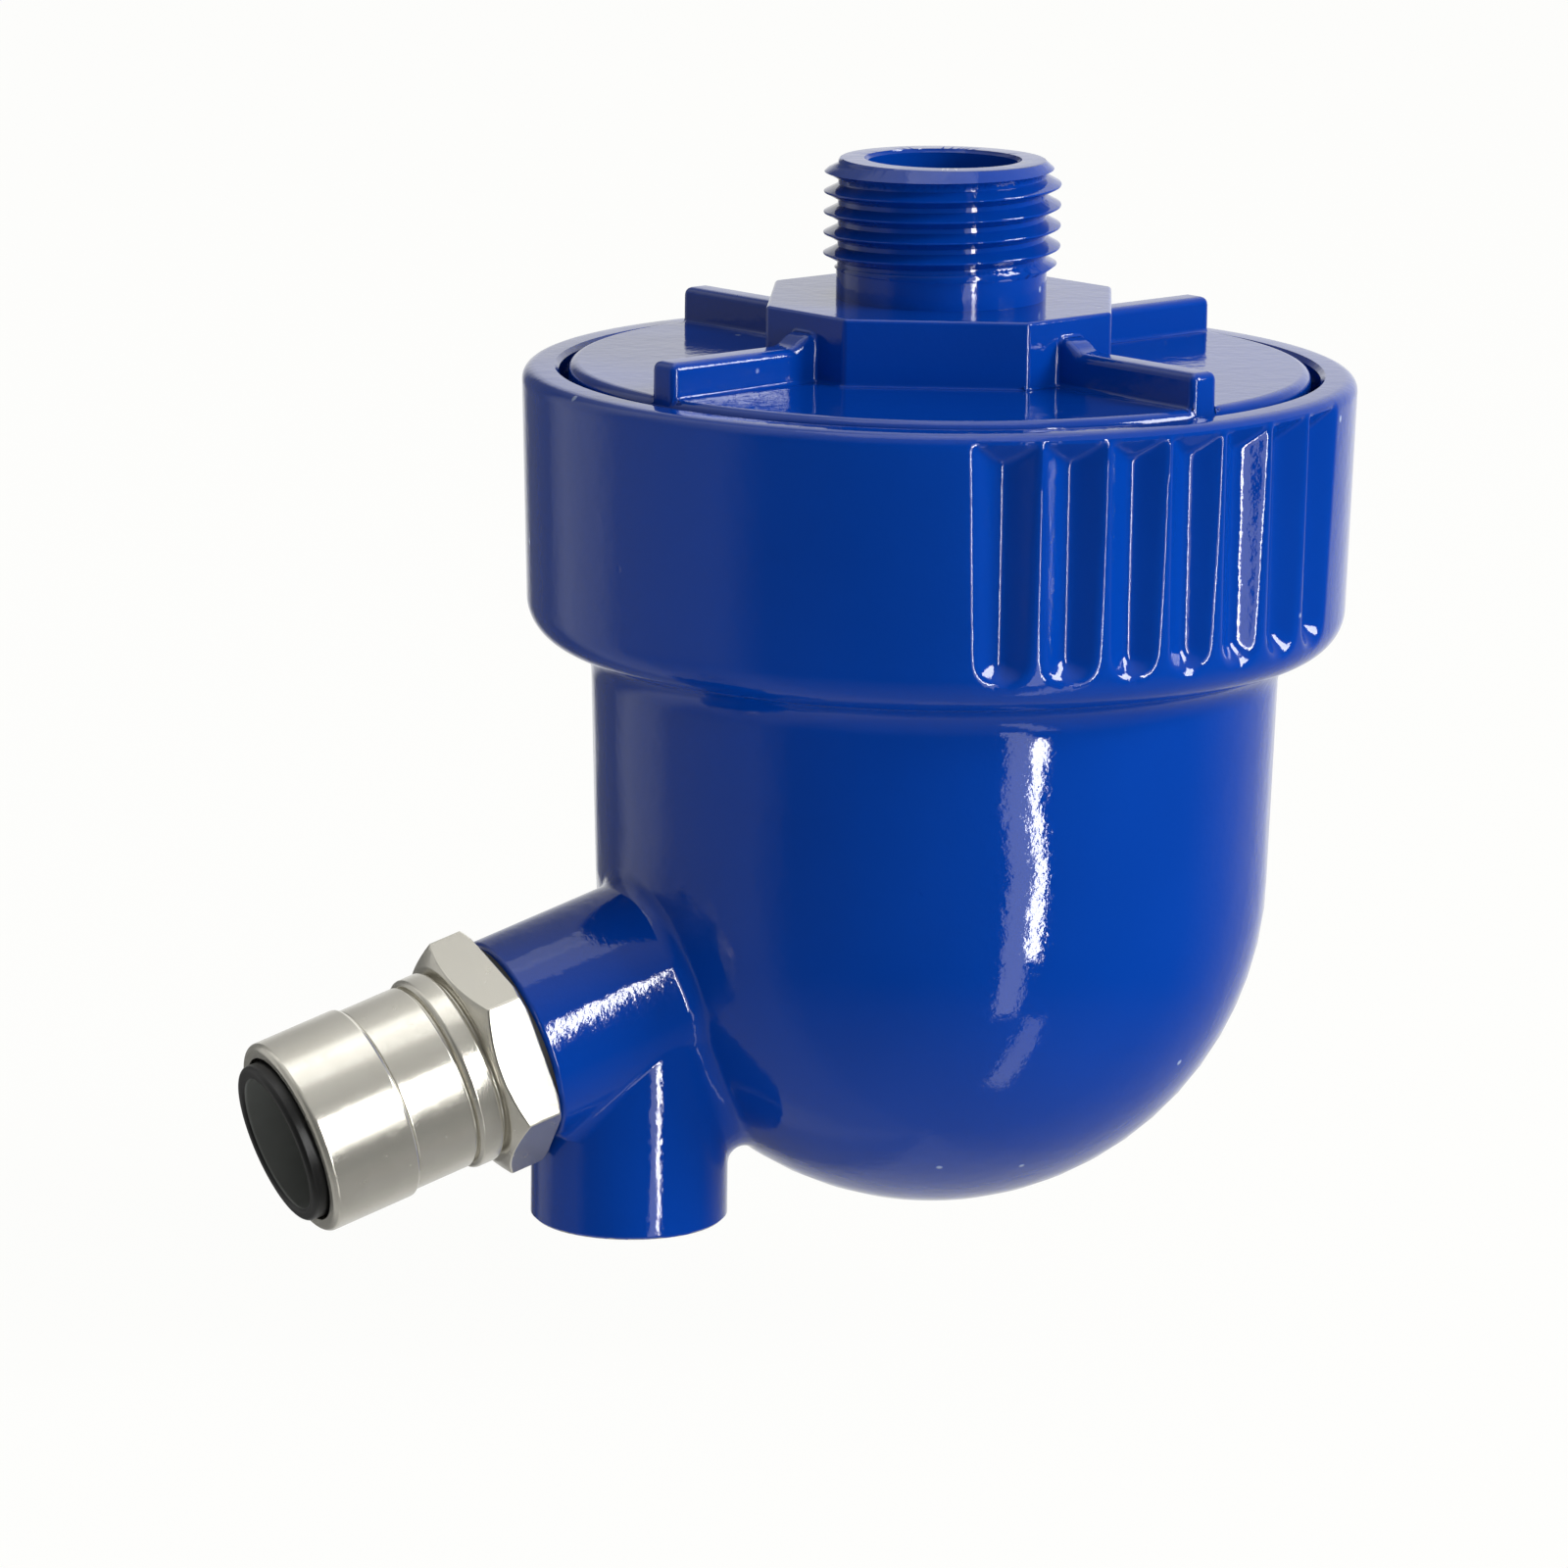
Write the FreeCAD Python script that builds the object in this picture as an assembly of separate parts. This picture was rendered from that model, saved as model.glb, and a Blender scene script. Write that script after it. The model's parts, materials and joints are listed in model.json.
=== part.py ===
import FreeCAD, Part
import math
import os
from FreeCAD import Placement, Rotation, Vector

# Automatic float drain for condensate. Millimetres, +Z up.
# Z = 0 is the lower end of the full inlet thread, on the axis of the inlet.
# The outlet boss points to -X and down.

# How far a cutter reaches past the face that it opens, and a joined form into its neighbour
OVERRUN = 1.0
# Two points or faces nearer than these count as the same
SAME_POINT = 1e-6
TOUCHING = 0.01

# Inlet spigot, a G 1/2 male thread drawn at its crest radius
THREAD_RADIUS = 20.955 / 2
THREAD_LENGTH = 8.9
THREAD_TIP_RADIUS = 9.0
THREAD_TIP_HEIGHT = 1.3
NECK_RADIUS = 9.3
NECK_LENGTH = 3.3
THREAD_RUNOUT = 0.9
INLET_BORE_RADIUS = 6.65
BORE_EDGE = 0.3

# Wrench block on the cover, a square with cut corners
BLOCK_ACROSS = 30.16
BLOCK_FRONT = 16.0
BLOCK_HEIGHT = 5.9
COVER_TURN_ANGLE = -28.6

# Four wings on the cover
WING_COUNT = 4
WING_THICKNESS = 3.0
WING_HEIGHT = 3.1
WING_ROUND = 0.8
WING_FLARE = 2.2
WING_FLARE_RISE = 1.1

# Cover plate and its threaded skirt
COVER_RADIUS = 32.85
COVER_THICKNESS = 4.0
COVER_ROUND = 0.9
COVER_LIP = 3.0
SKIRT_STEP = 0.15
SKIRT_DEPTH = 17.0
SKIRT_WALL = 4.5
SKIRT_EDGE = 0.5

# Strainer below the inlet, with its retaining ring
STRAINER_FLANGE = 1.0
STRAINER_FLANGE_WIDTH = 1.6
STRAINER_RADIUS = 7.4
STRAINER_WALL = 0.8
STRAINER_DEPTH = 8.0
STRAINER_SLOTS = 8
STRAINER_SLOT_WIDTH = 1.6
RETAINER_THICKNESS = 1.0
RETAINER_WIDTH = 1.2

# Collar of the bowl, around the cover
COVER_STAND = 0.45
COVER_GAP = 0.85
COLLAR_WALL = 3.25
COLLAR_HEIGHT = 24.35
COLLAR_DRAFT_ANGLE = 1.4
COLLAR_TOP_ROUND = 1.2
COLLAR_FOOT_ROUND = 3.8
COLLAR_MOUTH_DEPTH = 3.2
COLLAR_MOUTH_EDGE = 0.4

# Grip flutes on the collar, in two opposite groups, with their pitch along the collar
FLUTE_COUNT = 7
FLUTE_PITCH = 5.933
FLUTE_GROUP_ANGLE = -80.7
FLUTE_DEPTH = 1.5
FLUTE_HALF_WIDTH = 2.35
FLUTE_TOP_BELOW_COLLAR = 1.2
FLUTE_LENGTH = 20.5

# Bowl below the collar, set in from it, and its round bottom
BOWL_STEP = 6.3
NECK_FILLET_HEIGHT = 3.2
BOWL_TAPER = 0.5
BOWL_STRAIGHT = 20.9
BOWL_WALL = 3.0

# Seal ring between the cover skirt and the ledge in the bowl
SEAL_SECTION = 2.7
SEAL_GAP = 0.05

# Outlet boss, measured from the round bottom, and the vertical port behind its face
OUTLET_TILT_ANGLE = 17.4
OUTLET_RISE = 0.7
BOSS_RADIUS = 9.35
BOSS_LENGTH = 13.05
BOSS_EDGE = 0.4
PORT_RADIUS = 8.75
PORT_BEHIND_FACE = 12.12
PORT_STAND = 0.95
PORT_EDGE = 0.4
JUNCTION_FILLET = 1.8
PASSAGE_RADIUS = 2.0

# G 1/4 threads of the boss and the port, drawn plain
QUARTER_THREAD_RADIUS = 13.157 / 2
BOSS_THREAD_DEPTH = 9.5
PORT_THREAD_DEPTH = 11.0
THREAD_FIT = 0.05

# Port plug, recessed, with a hexagon socket
PLUG_LENGTH = 7.5
PLUG_RECESS = 1.0
PLUG_SOCKET = 6.0
PLUG_SOCKET_DEPTH = 4.5

# Valve seat on its pad in the bowl, and what it clamps
SEAT_PAD_HEIGHT = 5.15
SEAT_PAD_RADIUS = 7.5
SEAT_WASHER = 0.8
SEAT_WASHER_RIM = 1.0
SEAT_SHANK_RADIUS = 3.0
SEAT_SHANK_LENGTH = 5.0
SEAT_HEX = 8.0
SEAT_HEX_HEIGHT = 2.5
SEAT_NOZZLE_RADIUS = 2.0
SEAT_NOZZLE_TIP_RADIUS = 1.4
SEAT_NOZZLE_HEIGHT = 1.0
SEAT_ORIFICE_RADIUS = 0.9

# Pivot bracket, bent from sheet, with its pin
BRACKET_SHEET = 1.0
BRACKET_INSIDE = 9.6
BRACKET_BOTTOM = 5.5
BRACKET_EAR_WIDTH = 5.6
PIVOT_HEIGHT = 8.0
PIN_RADIUS = 1.0
PIN_CLIP_RADIUS = 1.9
PIN_CLIP_THICKNESS = 0.6
PIN_CLIP_GAP = 0.9
PIN_END = 0.4
RUNNING_FIT = 0.05

# Float lever, bent from sheet
LEVER_SHEET = 0.8
LEVER_INSIDE = 5.4
LEVER_EYE_RADIUS = 2.5
LEVER_DEPTH = 5.0
LEVER_FALL_ANGLE = 17.4
LEVER_TAB_REACH = 9.2
LEVER_TAB = 1.2
LEVER_LEG_RISE = 2.0
VALVE_CUP_RADIUS = 3.0
VALVE_CUP_HEIGHT = 2.6
VALVE_CUP_FLOOR = 1.0
VALVE_PLUG_RADIUS = 2.3
VALVE_LIFT_GAP = 0.05

# Float ball in two pressed halves, with its stud and nut
FLOAT_STANDOFF = 12.0
FLOAT_FAR_GAP = 4.7
FLOAT_WALL = 0.4
FLOAT_LIP = 0.4
FLOAT_LIP_WIDTH = 1.2
STUD_RADIUS = 1.5
STUD_SHOULDER_RADIUS = 2.6
STUD_END = 0.8
NUT_ACROSS = 5.0
NUT_HEIGHT = 2.2

# Push-in tube fitting on the outlet, for 12 mm tube
TUBE_RADIUS = 6.0
TUBE_FIT = 0.05
FACE_SEAL = 0.6
FACE_SEAL_RADIUS = 8.9
FITTING_SHANK = 8.0
FITTING_BORE_RADIUS = 4.6
HEX_ACROSS = 19.0
HEX_LENGTH = 4.4
HEX_TURN_ANGLE = 51.0
HEX_CHAMFER_ANGLE = 30.0
HEX_FACE_RADIUS = 9.2
HEX_BACK_FACE_RADIUS = 10.2
HEX_BACK_CHAMFER = 0.8
RING_RADIUS = 8.85
RING_LENGTH = 2.7
RING_EDGE = 0.3
GROOVE_RADIUS = 8.0
GROOVE_WIDTH = 0.35
BARREL_RADIUS = 8.45
BARREL_LENGTH = 5.9
TUBE_STOP_DEPTH = 9.5
SEAL_POCKET_RADIUS = 7.7
SEAL_POCKET_DEPTH = 3.2
SLEEVE_RADIUS = 8.8
SLEEVE_LENGTH = 8.4
SLEEVE_ROUND = 0.6
SLEEVE_MOUTH_RADIUS = 7.55
SPIGOT_RADIUS = 8.1
SPIGOT_LENGTH = 1.6
GRIP_THICKNESS = 0.5
GRIP_TEETH = 12
GRIP_SLOT_WIDTH = 0.8
GRIP_RIM = 0.8
COLLET_TRAVEL = 1.0
COLLET_STEM_RADIUS = 6.8
COLLET_HEAD_RADIUS = 7.25
COLLET_HEAD_LENGTH = 3.0
COLLET_PROUD = 1.3
COLLET_BARB = 0.425
COLLET_SLOTS = 6
COLLET_SLOT_WIDTH = 0.8
SLEEVE_LIP_LENGTH = 1.4

# Levels and places worked out from the sizes above
BLOCK_TOP = -NECK_LENGTH
COVER_TOP = BLOCK_TOP - BLOCK_HEIGHT
COVER_UNDER = COVER_TOP - COVER_THICKNESS
SKIRT_END = COVER_TOP - SKIRT_DEPTH
SKIRT_RADIUS = COVER_RADIUS + SKIRT_STEP
SKIRT_BORE = SKIRT_RADIUS - SKIRT_WALL
STRAINER_SEAT_RADIUS = STRAINER_RADIUS + STRAINER_FLANGE_WIDTH
COLLAR_MOUTH_RADIUS = COVER_RADIUS + COVER_GAP
COLLAR_RADIUS = COLLAR_MOUTH_RADIUS + COLLAR_WALL
COLLAR_TOP = COVER_TOP - COVER_STAND
COLLAR_UNDER = COLLAR_TOP - COLLAR_HEIGHT
COLLAR_FOOT_RADIUS = COLLAR_RADIUS - math.tan(math.radians(COLLAR_DRAFT_ANGLE)) * (
    COLLAR_HEIGHT - COLLAR_FOOT_ROUND
)
BOWL_RADIUS = COLLAR_RADIUS - BOWL_STEP
BALL_RADIUS = BOWL_RADIUS - BOWL_TAPER
BALL_INSIDE = BALL_RADIUS - BOWL_WALL
LEDGE = SKIRT_END - SEAL_SECTION - 2 * SEAL_GAP
SKIRT_SEAT_RADIUS = SKIRT_RADIUS + RUNNING_FIT
SEAL_RADIUS = SKIRT_SEAT_RADIUS - 4 * SEAL_GAP - SEAL_SECTION / 2
BALL_CENTRE = COLLAR_UNDER - BOWL_STRAIGHT
BOWL_FOOT = BALL_CENTRE - BALL_RADIUS
PORT_END = BOWL_FOOT + PORT_STAND
OUTLET_AXIS = BALL_CENTRE + OUTLET_RISE
BOSS_REACH = BALL_RADIUS + BOSS_LENGTH
PORT_OFFSET = (BOSS_REACH - PORT_BEHIND_FACE) * math.cos(math.radians(OUTLET_TILT_ANGLE))
PORT_MEETS_OUTLET = OUTLET_AXIS - PORT_OFFSET * math.tan(math.radians(OUTLET_TILT_ANGLE))
SEAT_REACH = BALL_INSIDE - SEAT_PAD_HEIGHT
BRACKET_FACE = SEAT_REACH - SEAT_WASHER
SEAT_FLANGE_BACK = BRACKET_FACE - BRACKET_SHEET
SEAT_FLANGE_FACE = SEAT_FLANGE_BACK - SEAT_HEX_HEIGHT
SEAT_TIP = SEAT_FLANGE_FACE - SEAT_NOZZLE_HEIGHT
SEAT_SHANK_END = SEAT_REACH + SEAT_SHANK_LENGTH
HEX_BACK = BOSS_REACH + FACE_SEAL
HEX_FRONT = HEX_BACK + HEX_LENGTH
RING_FRONT = HEX_FRONT + RING_LENGTH
BARREL_FRONT = RING_FRONT + BARREL_LENGTH
SPIGOT_FRONT = BARREL_FRONT + SPIGOT_LENGTH
FITTING_END = BARREL_FRONT + SLEEVE_LENGTH
TUBE_BORE_RADIUS = TUBE_RADIUS + TUBE_FIT
TUBE_STOP = SPIGOT_FRONT - TUBE_STOP_DEPTH
SEAL_POCKET_FLOOR = SPIGOT_FRONT - SEAL_POCKET_DEPTH

# The outlet's own frame has Z along the boss, outwards, and X upwards.
OUTLET = Placement(
    Vector(0, 0, OUTLET_AXIS),
    Rotation(Vector(0, 1, 0), -(90 + OUTLET_TILT_ANGLE)),
)
PIVOT = OUTLET.multVec(Vector(PIVOT_HEIGHT, 0, SEAT_TIP))

# The lever's own frame has Z along the arm, towards the float, with its origin at the pivot.
LEVER = Placement(PIVOT, Rotation(Vector(0, 1, 0), 90 + LEVER_FALL_ANGLE))

# The float fills the way across the bowl that its standoff and the gap at the far wall leave.
FLOAT_ROOM = BALL_INSIDE - PIVOT.x - FLOAT_FAR_GAP
FLOAT_REACH = (FLOAT_ROOM + FLOAT_STANDOFF) / (1 + math.cos(math.radians(LEVER_FALL_ANGLE)))
FLOAT_RADIUS = FLOAT_REACH - FLOAT_STANDOFF


def section_point(radius, height):
    """A point of an outline that is turned about Z."""
    return Vector(radius, 0, height)


def turned(start, *moves):
    """A solid turned about Z. The outline is given in radius and height and closes itself.

    A move is the end of a straight line, or for an arc a pair: a point on the way, and the end.
    """
    edges = []
    here = start
    for move in moves:
        if isinstance(move[0], tuple):
            middle, end = move
            arc = Part.Arc(section_point(*here), section_point(*middle), section_point(*end))
            edges.append(arc.toShape())
        else:
            end = move
            edges.append(Part.LineSegment(section_point(*here), section_point(*end)).toShape())
        here = end
    if math.dist(here, start) > SAME_POINT:
        edges.append(Part.LineSegment(section_point(*here), section_point(*start)).toShape())
    return Part.Face(Part.Wire(edges)).revolve(Vector(0, 0, 0), Vector(0, 0, 1), 360)


def arc_to(centre, radius, middle_angle, end_angle):
    """The middle and end of an arc about centre, for an outline that turned() reads."""
    points = []
    for angle in (middle_angle, end_angle):
        across = radius * math.cos(math.radians(angle))
        up = radius * math.sin(math.radians(angle))
        points.append((centre[0] + across, centre[1] + up))
    return tuple(points)


def cylinder(radius, low, high, x=0.0, y=0.0):
    """An upright cylinder between two heights."""
    return Part.makeCylinder(radius, high - low, Vector(x, y, low))


def ring(outer, inner, low, high):
    """A flat ring about Z."""
    return cylinder(outer, low, high).cut(cylinder(inner, low, high))


def block(x_low, x_high, y_low, y_high, z_low, z_high):
    """A rectangular block between two corners."""
    size = (x_high - x_low, y_high - y_low, z_high - z_low)
    return Part.makeBox(*size, Vector(x_low, y_low, z_low))


def hexagon(across_flats, low, high, turn=0.0):
    """A hexagonal prism about Z, with one corner at the angle turn."""
    corner = across_flats / math.sqrt(3)
    points = []
    for index in range(7):
        angle = math.radians(turn + 60 * index)
        points.append(Vector(corner * math.cos(angle), corner * math.sin(angle), low))
    return Part.Face(Part.makePolygon(points)).extrude(Vector(0, 0, high - low))


def about_z(shape, angle):
    """A copy turned about Z."""
    copy = shape.copy()
    copy.rotate(Vector(0, 0, 0), Vector(0, 0, 1), angle)
    return copy


def all_round(shape, count, start=0.0):
    """Copies spaced evenly about Z."""
    return [about_z(shape, start + 360 * index / count) for index in range(count)]


def on_pin_axis(shape, placement, along):
    """Turns a shape about Z into one about Y, centred on the pivot in the given frame."""
    copy = shape.copy()
    copy.rotate(Vector(0, 0, 0), Vector(1, 0, 0), -90)
    copy.translate(along)
    return placed(copy, placement)


def placed(shape, placement):
    """A copy in another frame."""
    copy = shape.copy()
    copy.Placement = placement.multiply(copy.Placement)
    return copy


def fused(first, *others):
    """One solid with no leftover seams."""
    return first.fuse(list(others)).removeSplitter()


def wing_blank():
    """One wing along +X, from inside the block to the edge of the cover plate."""
    top = COVER_TOP + WING_HEIGHT
    half = WING_THICKNESS / 2
    bar = block(0, COVER_RADIUS + OVERRUN, -half, half, COVER_UNDER, top)
    edges = [
        edge
        for edge in bar.Edges
        if all(abs(vertex.Z - top) < SAME_POINT for vertex in edge.Vertexes)
        and abs(edge.Vertexes[0].Y - edge.Vertexes[1].Y) < SAME_POINT
    ]
    bar = bar.makeFillet(WING_ROUND, edges)
    crown = turned(
        (0, COVER_UNDER),
        (COVER_RADIUS, COVER_UNDER),
        (COVER_RADIUS, top - WING_ROUND),
        arc_to((COVER_RADIUS - WING_ROUND, top - WING_ROUND), WING_ROUND, 45, 90),
        (0, top),
    )
    return bar.common(crown)


def wing_flare():
    """The web that lifts a wing's root up to the block."""
    face_of_block = (BLOCK_ACROSS + BLOCK_FRONT) / (2 * math.sqrt(2))
    top = COVER_TOP + WING_HEIGHT
    half = WING_THICKNESS / 2
    points = [
        Vector(face_of_block - OVERRUN, -half, top - OVERRUN),
        Vector(face_of_block - OVERRUN, -half, top + WING_FLARE_RISE),
        Vector(face_of_block, -half, top + WING_FLARE_RISE),
        Vector(face_of_block + WING_FLARE, -half, top),
        Vector(face_of_block + WING_FLARE, -half, top - OVERRUN),
    ]
    return Part.Face(Part.makePolygon(points + points[:1])).extrude(Vector(0, 2 * half, 0))


def wrench_block():
    """The square block with cut corners, standing on the cover plate."""
    half = BLOCK_ACROSS / 2
    front = BLOCK_FRONT / 2
    corners = [
        (front, -half), (half, -front), (half, front), (front, half),
        (-front, half), (-half, front), (-half, -front), (-front, -half),
    ]
    points = [Vector(x, y, COVER_UNDER) for x, y in corners]
    outline = Part.Face(Part.makePolygon(points + points[:1]))
    return outline.extrude(Vector(0, 0, BLOCK_TOP - COVER_UNDER))


def cover():
    """Cover plate, wrench block, wings, threaded skirt and inlet spigot, in one casting."""
    plate = turned(
        (0, COVER_UNDER),
        (SKIRT_BORE, COVER_UNDER),
        (SKIRT_BORE, SKIRT_END),
        (SKIRT_RADIUS - SKIRT_EDGE, SKIRT_END),
        (SKIRT_RADIUS, SKIRT_END + SKIRT_EDGE),
        (SKIRT_RADIUS, COVER_TOP - COVER_LIP),
        (COVER_RADIUS, COVER_TOP - COVER_LIP),
        (COVER_RADIUS, COVER_TOP - COVER_ROUND),
        arc_to((COVER_RADIUS - COVER_ROUND, COVER_TOP - COVER_ROUND), COVER_ROUND, 45, 90),
        (0, COVER_TOP),
    )
    spigot = turned(
        (0, COVER_UNDER),
        (NECK_RADIUS, COVER_UNDER),
        (NECK_RADIUS, -THREAD_RUNOUT),
        (THREAD_RADIUS, 0),
        (THREAD_RADIUS, THREAD_LENGTH - THREAD_TIP_HEIGHT),
        (THREAD_TIP_RADIUS, THREAD_LENGTH),
        (0, THREAD_LENGTH),
    )
    wings = all_round(wing_blank(), WING_COUNT, 45) + all_round(wing_flare(), WING_COUNT, 45)
    top_works = [about_z(piece, COVER_TURN_ANGLE) for piece in [wrench_block()] + wings]
    solid = fused(plate, spigot, *top_works)
    bore = turned(
        (0, COVER_UNDER - OVERRUN),
        (STRAINER_SEAT_RADIUS, COVER_UNDER - OVERRUN),
        (STRAINER_SEAT_RADIUS, COVER_UNDER + STRAINER_FLANGE + RETAINER_THICKNESS),
        (INLET_BORE_RADIUS, COVER_UNDER + STRAINER_FLANGE + RETAINER_THICKNESS),
        (INLET_BORE_RADIUS, THREAD_LENGTH - BORE_EDGE),
        (INLET_BORE_RADIUS + BORE_EDGE, THREAD_LENGTH),
        (INLET_BORE_RADIUS + BORE_EDGE, THREAD_LENGTH + OVERRUN),
        (0, THREAD_LENGTH + OVERRUN),
    )
    return solid.cut(bore)


def inlet_strainer():
    """Slotted basket under the inlet bore, held by its flange."""
    flange_top = COVER_UNDER + STRAINER_FLANGE + RETAINER_THICKNESS
    flange_under = flange_top - STRAINER_FLANGE
    floor = flange_under - STRAINER_DEPTH
    basket = turned(
        (0, floor),
        (STRAINER_RADIUS - STRAINER_WALL, floor),
        (STRAINER_RADIUS, floor + STRAINER_WALL),
        (STRAINER_RADIUS, flange_under),
        (STRAINER_SEAT_RADIUS - RUNNING_FIT, flange_under),
        (STRAINER_SEAT_RADIUS - RUNNING_FIT, flange_top),
        (STRAINER_RADIUS - STRAINER_WALL, flange_top),
        (STRAINER_RADIUS - STRAINER_WALL, floor + STRAINER_WALL),
        (0, floor + STRAINER_WALL),
    )
    half = STRAINER_SLOT_WIDTH / 2
    slot = block(
        STRAINER_RADIUS / 2, STRAINER_RADIUS + OVERRUN, -half, half,
        floor + 2 * STRAINER_WALL, flange_under - 2 * STRAINER_WALL,
    )
    return basket.cut(all_round(slot, STRAINER_SLOTS))


def strainer_retaining_ring():
    """Ring that holds the strainer's flange up in the cover."""
    outer = STRAINER_SEAT_RADIUS - RUNNING_FIT
    inner = STRAINER_SEAT_RADIUS - RETAINER_WIDTH
    return ring(outer, inner, COVER_UNDER, COVER_UNDER + RETAINER_THICKNESS)


def cover_seal():
    """Round-section seal ring, between the end of the skirt and the ledge in the bowl."""
    return Part.makeTorus(
        SEAL_RADIUS, SEAL_SECTION / 2, Vector(0, 0, LEDGE + SEAL_GAP + SEAL_SECTION / 2)
    )


def bowl_outside():
    """The collar and bowl with no hollow, turned about the main axis."""
    step_across = COLLAR_FOOT_RADIUS - COLLAR_FOOT_ROUND - BOWL_RADIUS
    curve = (step_across ** 2 + NECK_FILLET_HEIGHT ** 2) / (2 * step_across)
    curve_centre = (BOWL_RADIUS + curve, COLLAR_UNDER - NECK_FILLET_HEIGHT)
    curve_start = math.degrees(math.atan2(NECK_FILLET_HEIGHT, step_across - curve))
    top_centre = (COLLAR_RADIUS - COLLAR_TOP_ROUND, COLLAR_TOP - COLLAR_TOP_ROUND)
    foot_centre = (COLLAR_FOOT_RADIUS - COLLAR_FOOT_ROUND, COLLAR_UNDER + COLLAR_FOOT_ROUND)
    return turned(
        (0, COLLAR_TOP),
        (top_centre[0], COLLAR_TOP),
        arc_to(top_centre, COLLAR_TOP_ROUND, 45, 0),
        (COLLAR_FOOT_RADIUS, foot_centre[1]),
        arc_to(foot_centre, COLLAR_FOOT_ROUND, -45, -90),
        arc_to(curve_centre, curve, (curve_start + 180) / 2, 180),
        (BALL_RADIUS, BALL_CENTRE),
        arc_to((0, BALL_CENTRE), BALL_RADIUS, -45, -90),
    )


def bowl_hollow():
    """The inside of the bowl, from the mouth of the collar down."""
    mouth = COLLAR_TOP - COLLAR_MOUTH_DEPTH
    return turned(
        (0, COLLAR_TOP + OVERRUN),
        (COLLAR_MOUTH_RADIUS + COLLAR_MOUTH_EDGE, COLLAR_TOP + OVERRUN),
        (COLLAR_MOUTH_RADIUS + COLLAR_MOUTH_EDGE, COLLAR_TOP),
        (COLLAR_MOUTH_RADIUS, COLLAR_TOP - COLLAR_MOUTH_EDGE),
        (COLLAR_MOUTH_RADIUS, mouth),
        (SKIRT_SEAT_RADIUS, mouth),
        (SKIRT_SEAT_RADIUS, LEDGE),
        (BOWL_RADIUS - BOWL_WALL, LEDGE),
        (BALL_INSIDE, BALL_CENTRE),
        arc_to((0, BALL_CENTRE), BALL_INSIDE, -45, -90),
    )


def flute_cutters():
    """V grooves with a slanted top and a conical foot, in two opposite groups."""
    root = COLLAR_FOOT_RADIUS - FLUTE_DEPTH
    depth = COLLAR_RADIUS + OVERRUN - root
    half = FLUTE_HALF_WIDTH * depth / FLUTE_DEPTH
    top = COLLAR_TOP - FLUTE_TOP_BELOW_COLLAR
    foot = top - FLUTE_LENGTH + FLUTE_HALF_WIDTH
    triangle = [
        Vector(root, 0, foot),
        Vector(root + depth, half, foot),
        Vector(root + depth, -half, foot),
    ]
    prism = Part.Face(Part.makePolygon(triangle + triangle[:1])).extrude(Vector(0, 0, top - foot))
    cone = Part.makeCone(half, 0, depth, Vector(root + depth, 0, foot), Vector(-1, 0, 0))
    low = foot - half - OVERRUN
    inner = root - OVERRUN
    outer = root + depth + OVERRUN
    slant_start = top - FLUTE_DEPTH - root
    under_slant = turned(
        (inner, low),
        (outer, low),
        (outer, slant_start + outer),
        (inner, slant_start + inner),
    )
    groove = prism.fuse(cone).common(under_slant)
    pitch_angle = math.degrees(FLUTE_PITCH / COLLAR_RADIUS)
    first = FLUTE_GROUP_ANGLE - pitch_angle * (FLUTE_COUNT - 1) / 2
    cutters = []
    for group in (0, 180):
        for index in range(FLUTE_COUNT):
            cutters.append(about_z(groove, first + group + pitch_angle * index))
    return cutters


def junction_edges(shape):
    """The edges where the boss and the port leave the bowl and each other."""
    axis = OUTLET.Rotation.multVec(Vector(0, 0, 1))
    found = []
    for edge in shape.Edges:
        middle = edge.valueAt((edge.FirstParameter + edge.LastParameter) / 2)
        from_boss = (middle - Vector(0, 0, OUTLET_AXIS)).cross(axis).Length
        from_port = math.hypot(middle.x + PORT_OFFSET, middle.y)
        from_ball = (middle - Vector(0, 0, BALL_CENTRE)).Length
        on_boss = abs(from_boss - BOSS_RADIUS) < TOUCHING
        on_port = abs(from_port - PORT_RADIUS) < TOUCHING
        on_bowl = from_ball < BOWL_RADIUS and middle.x < 0
        if (on_boss and on_port) or (on_bowl and (on_boss or on_port)):
            found.append(edge)
    return found


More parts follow.
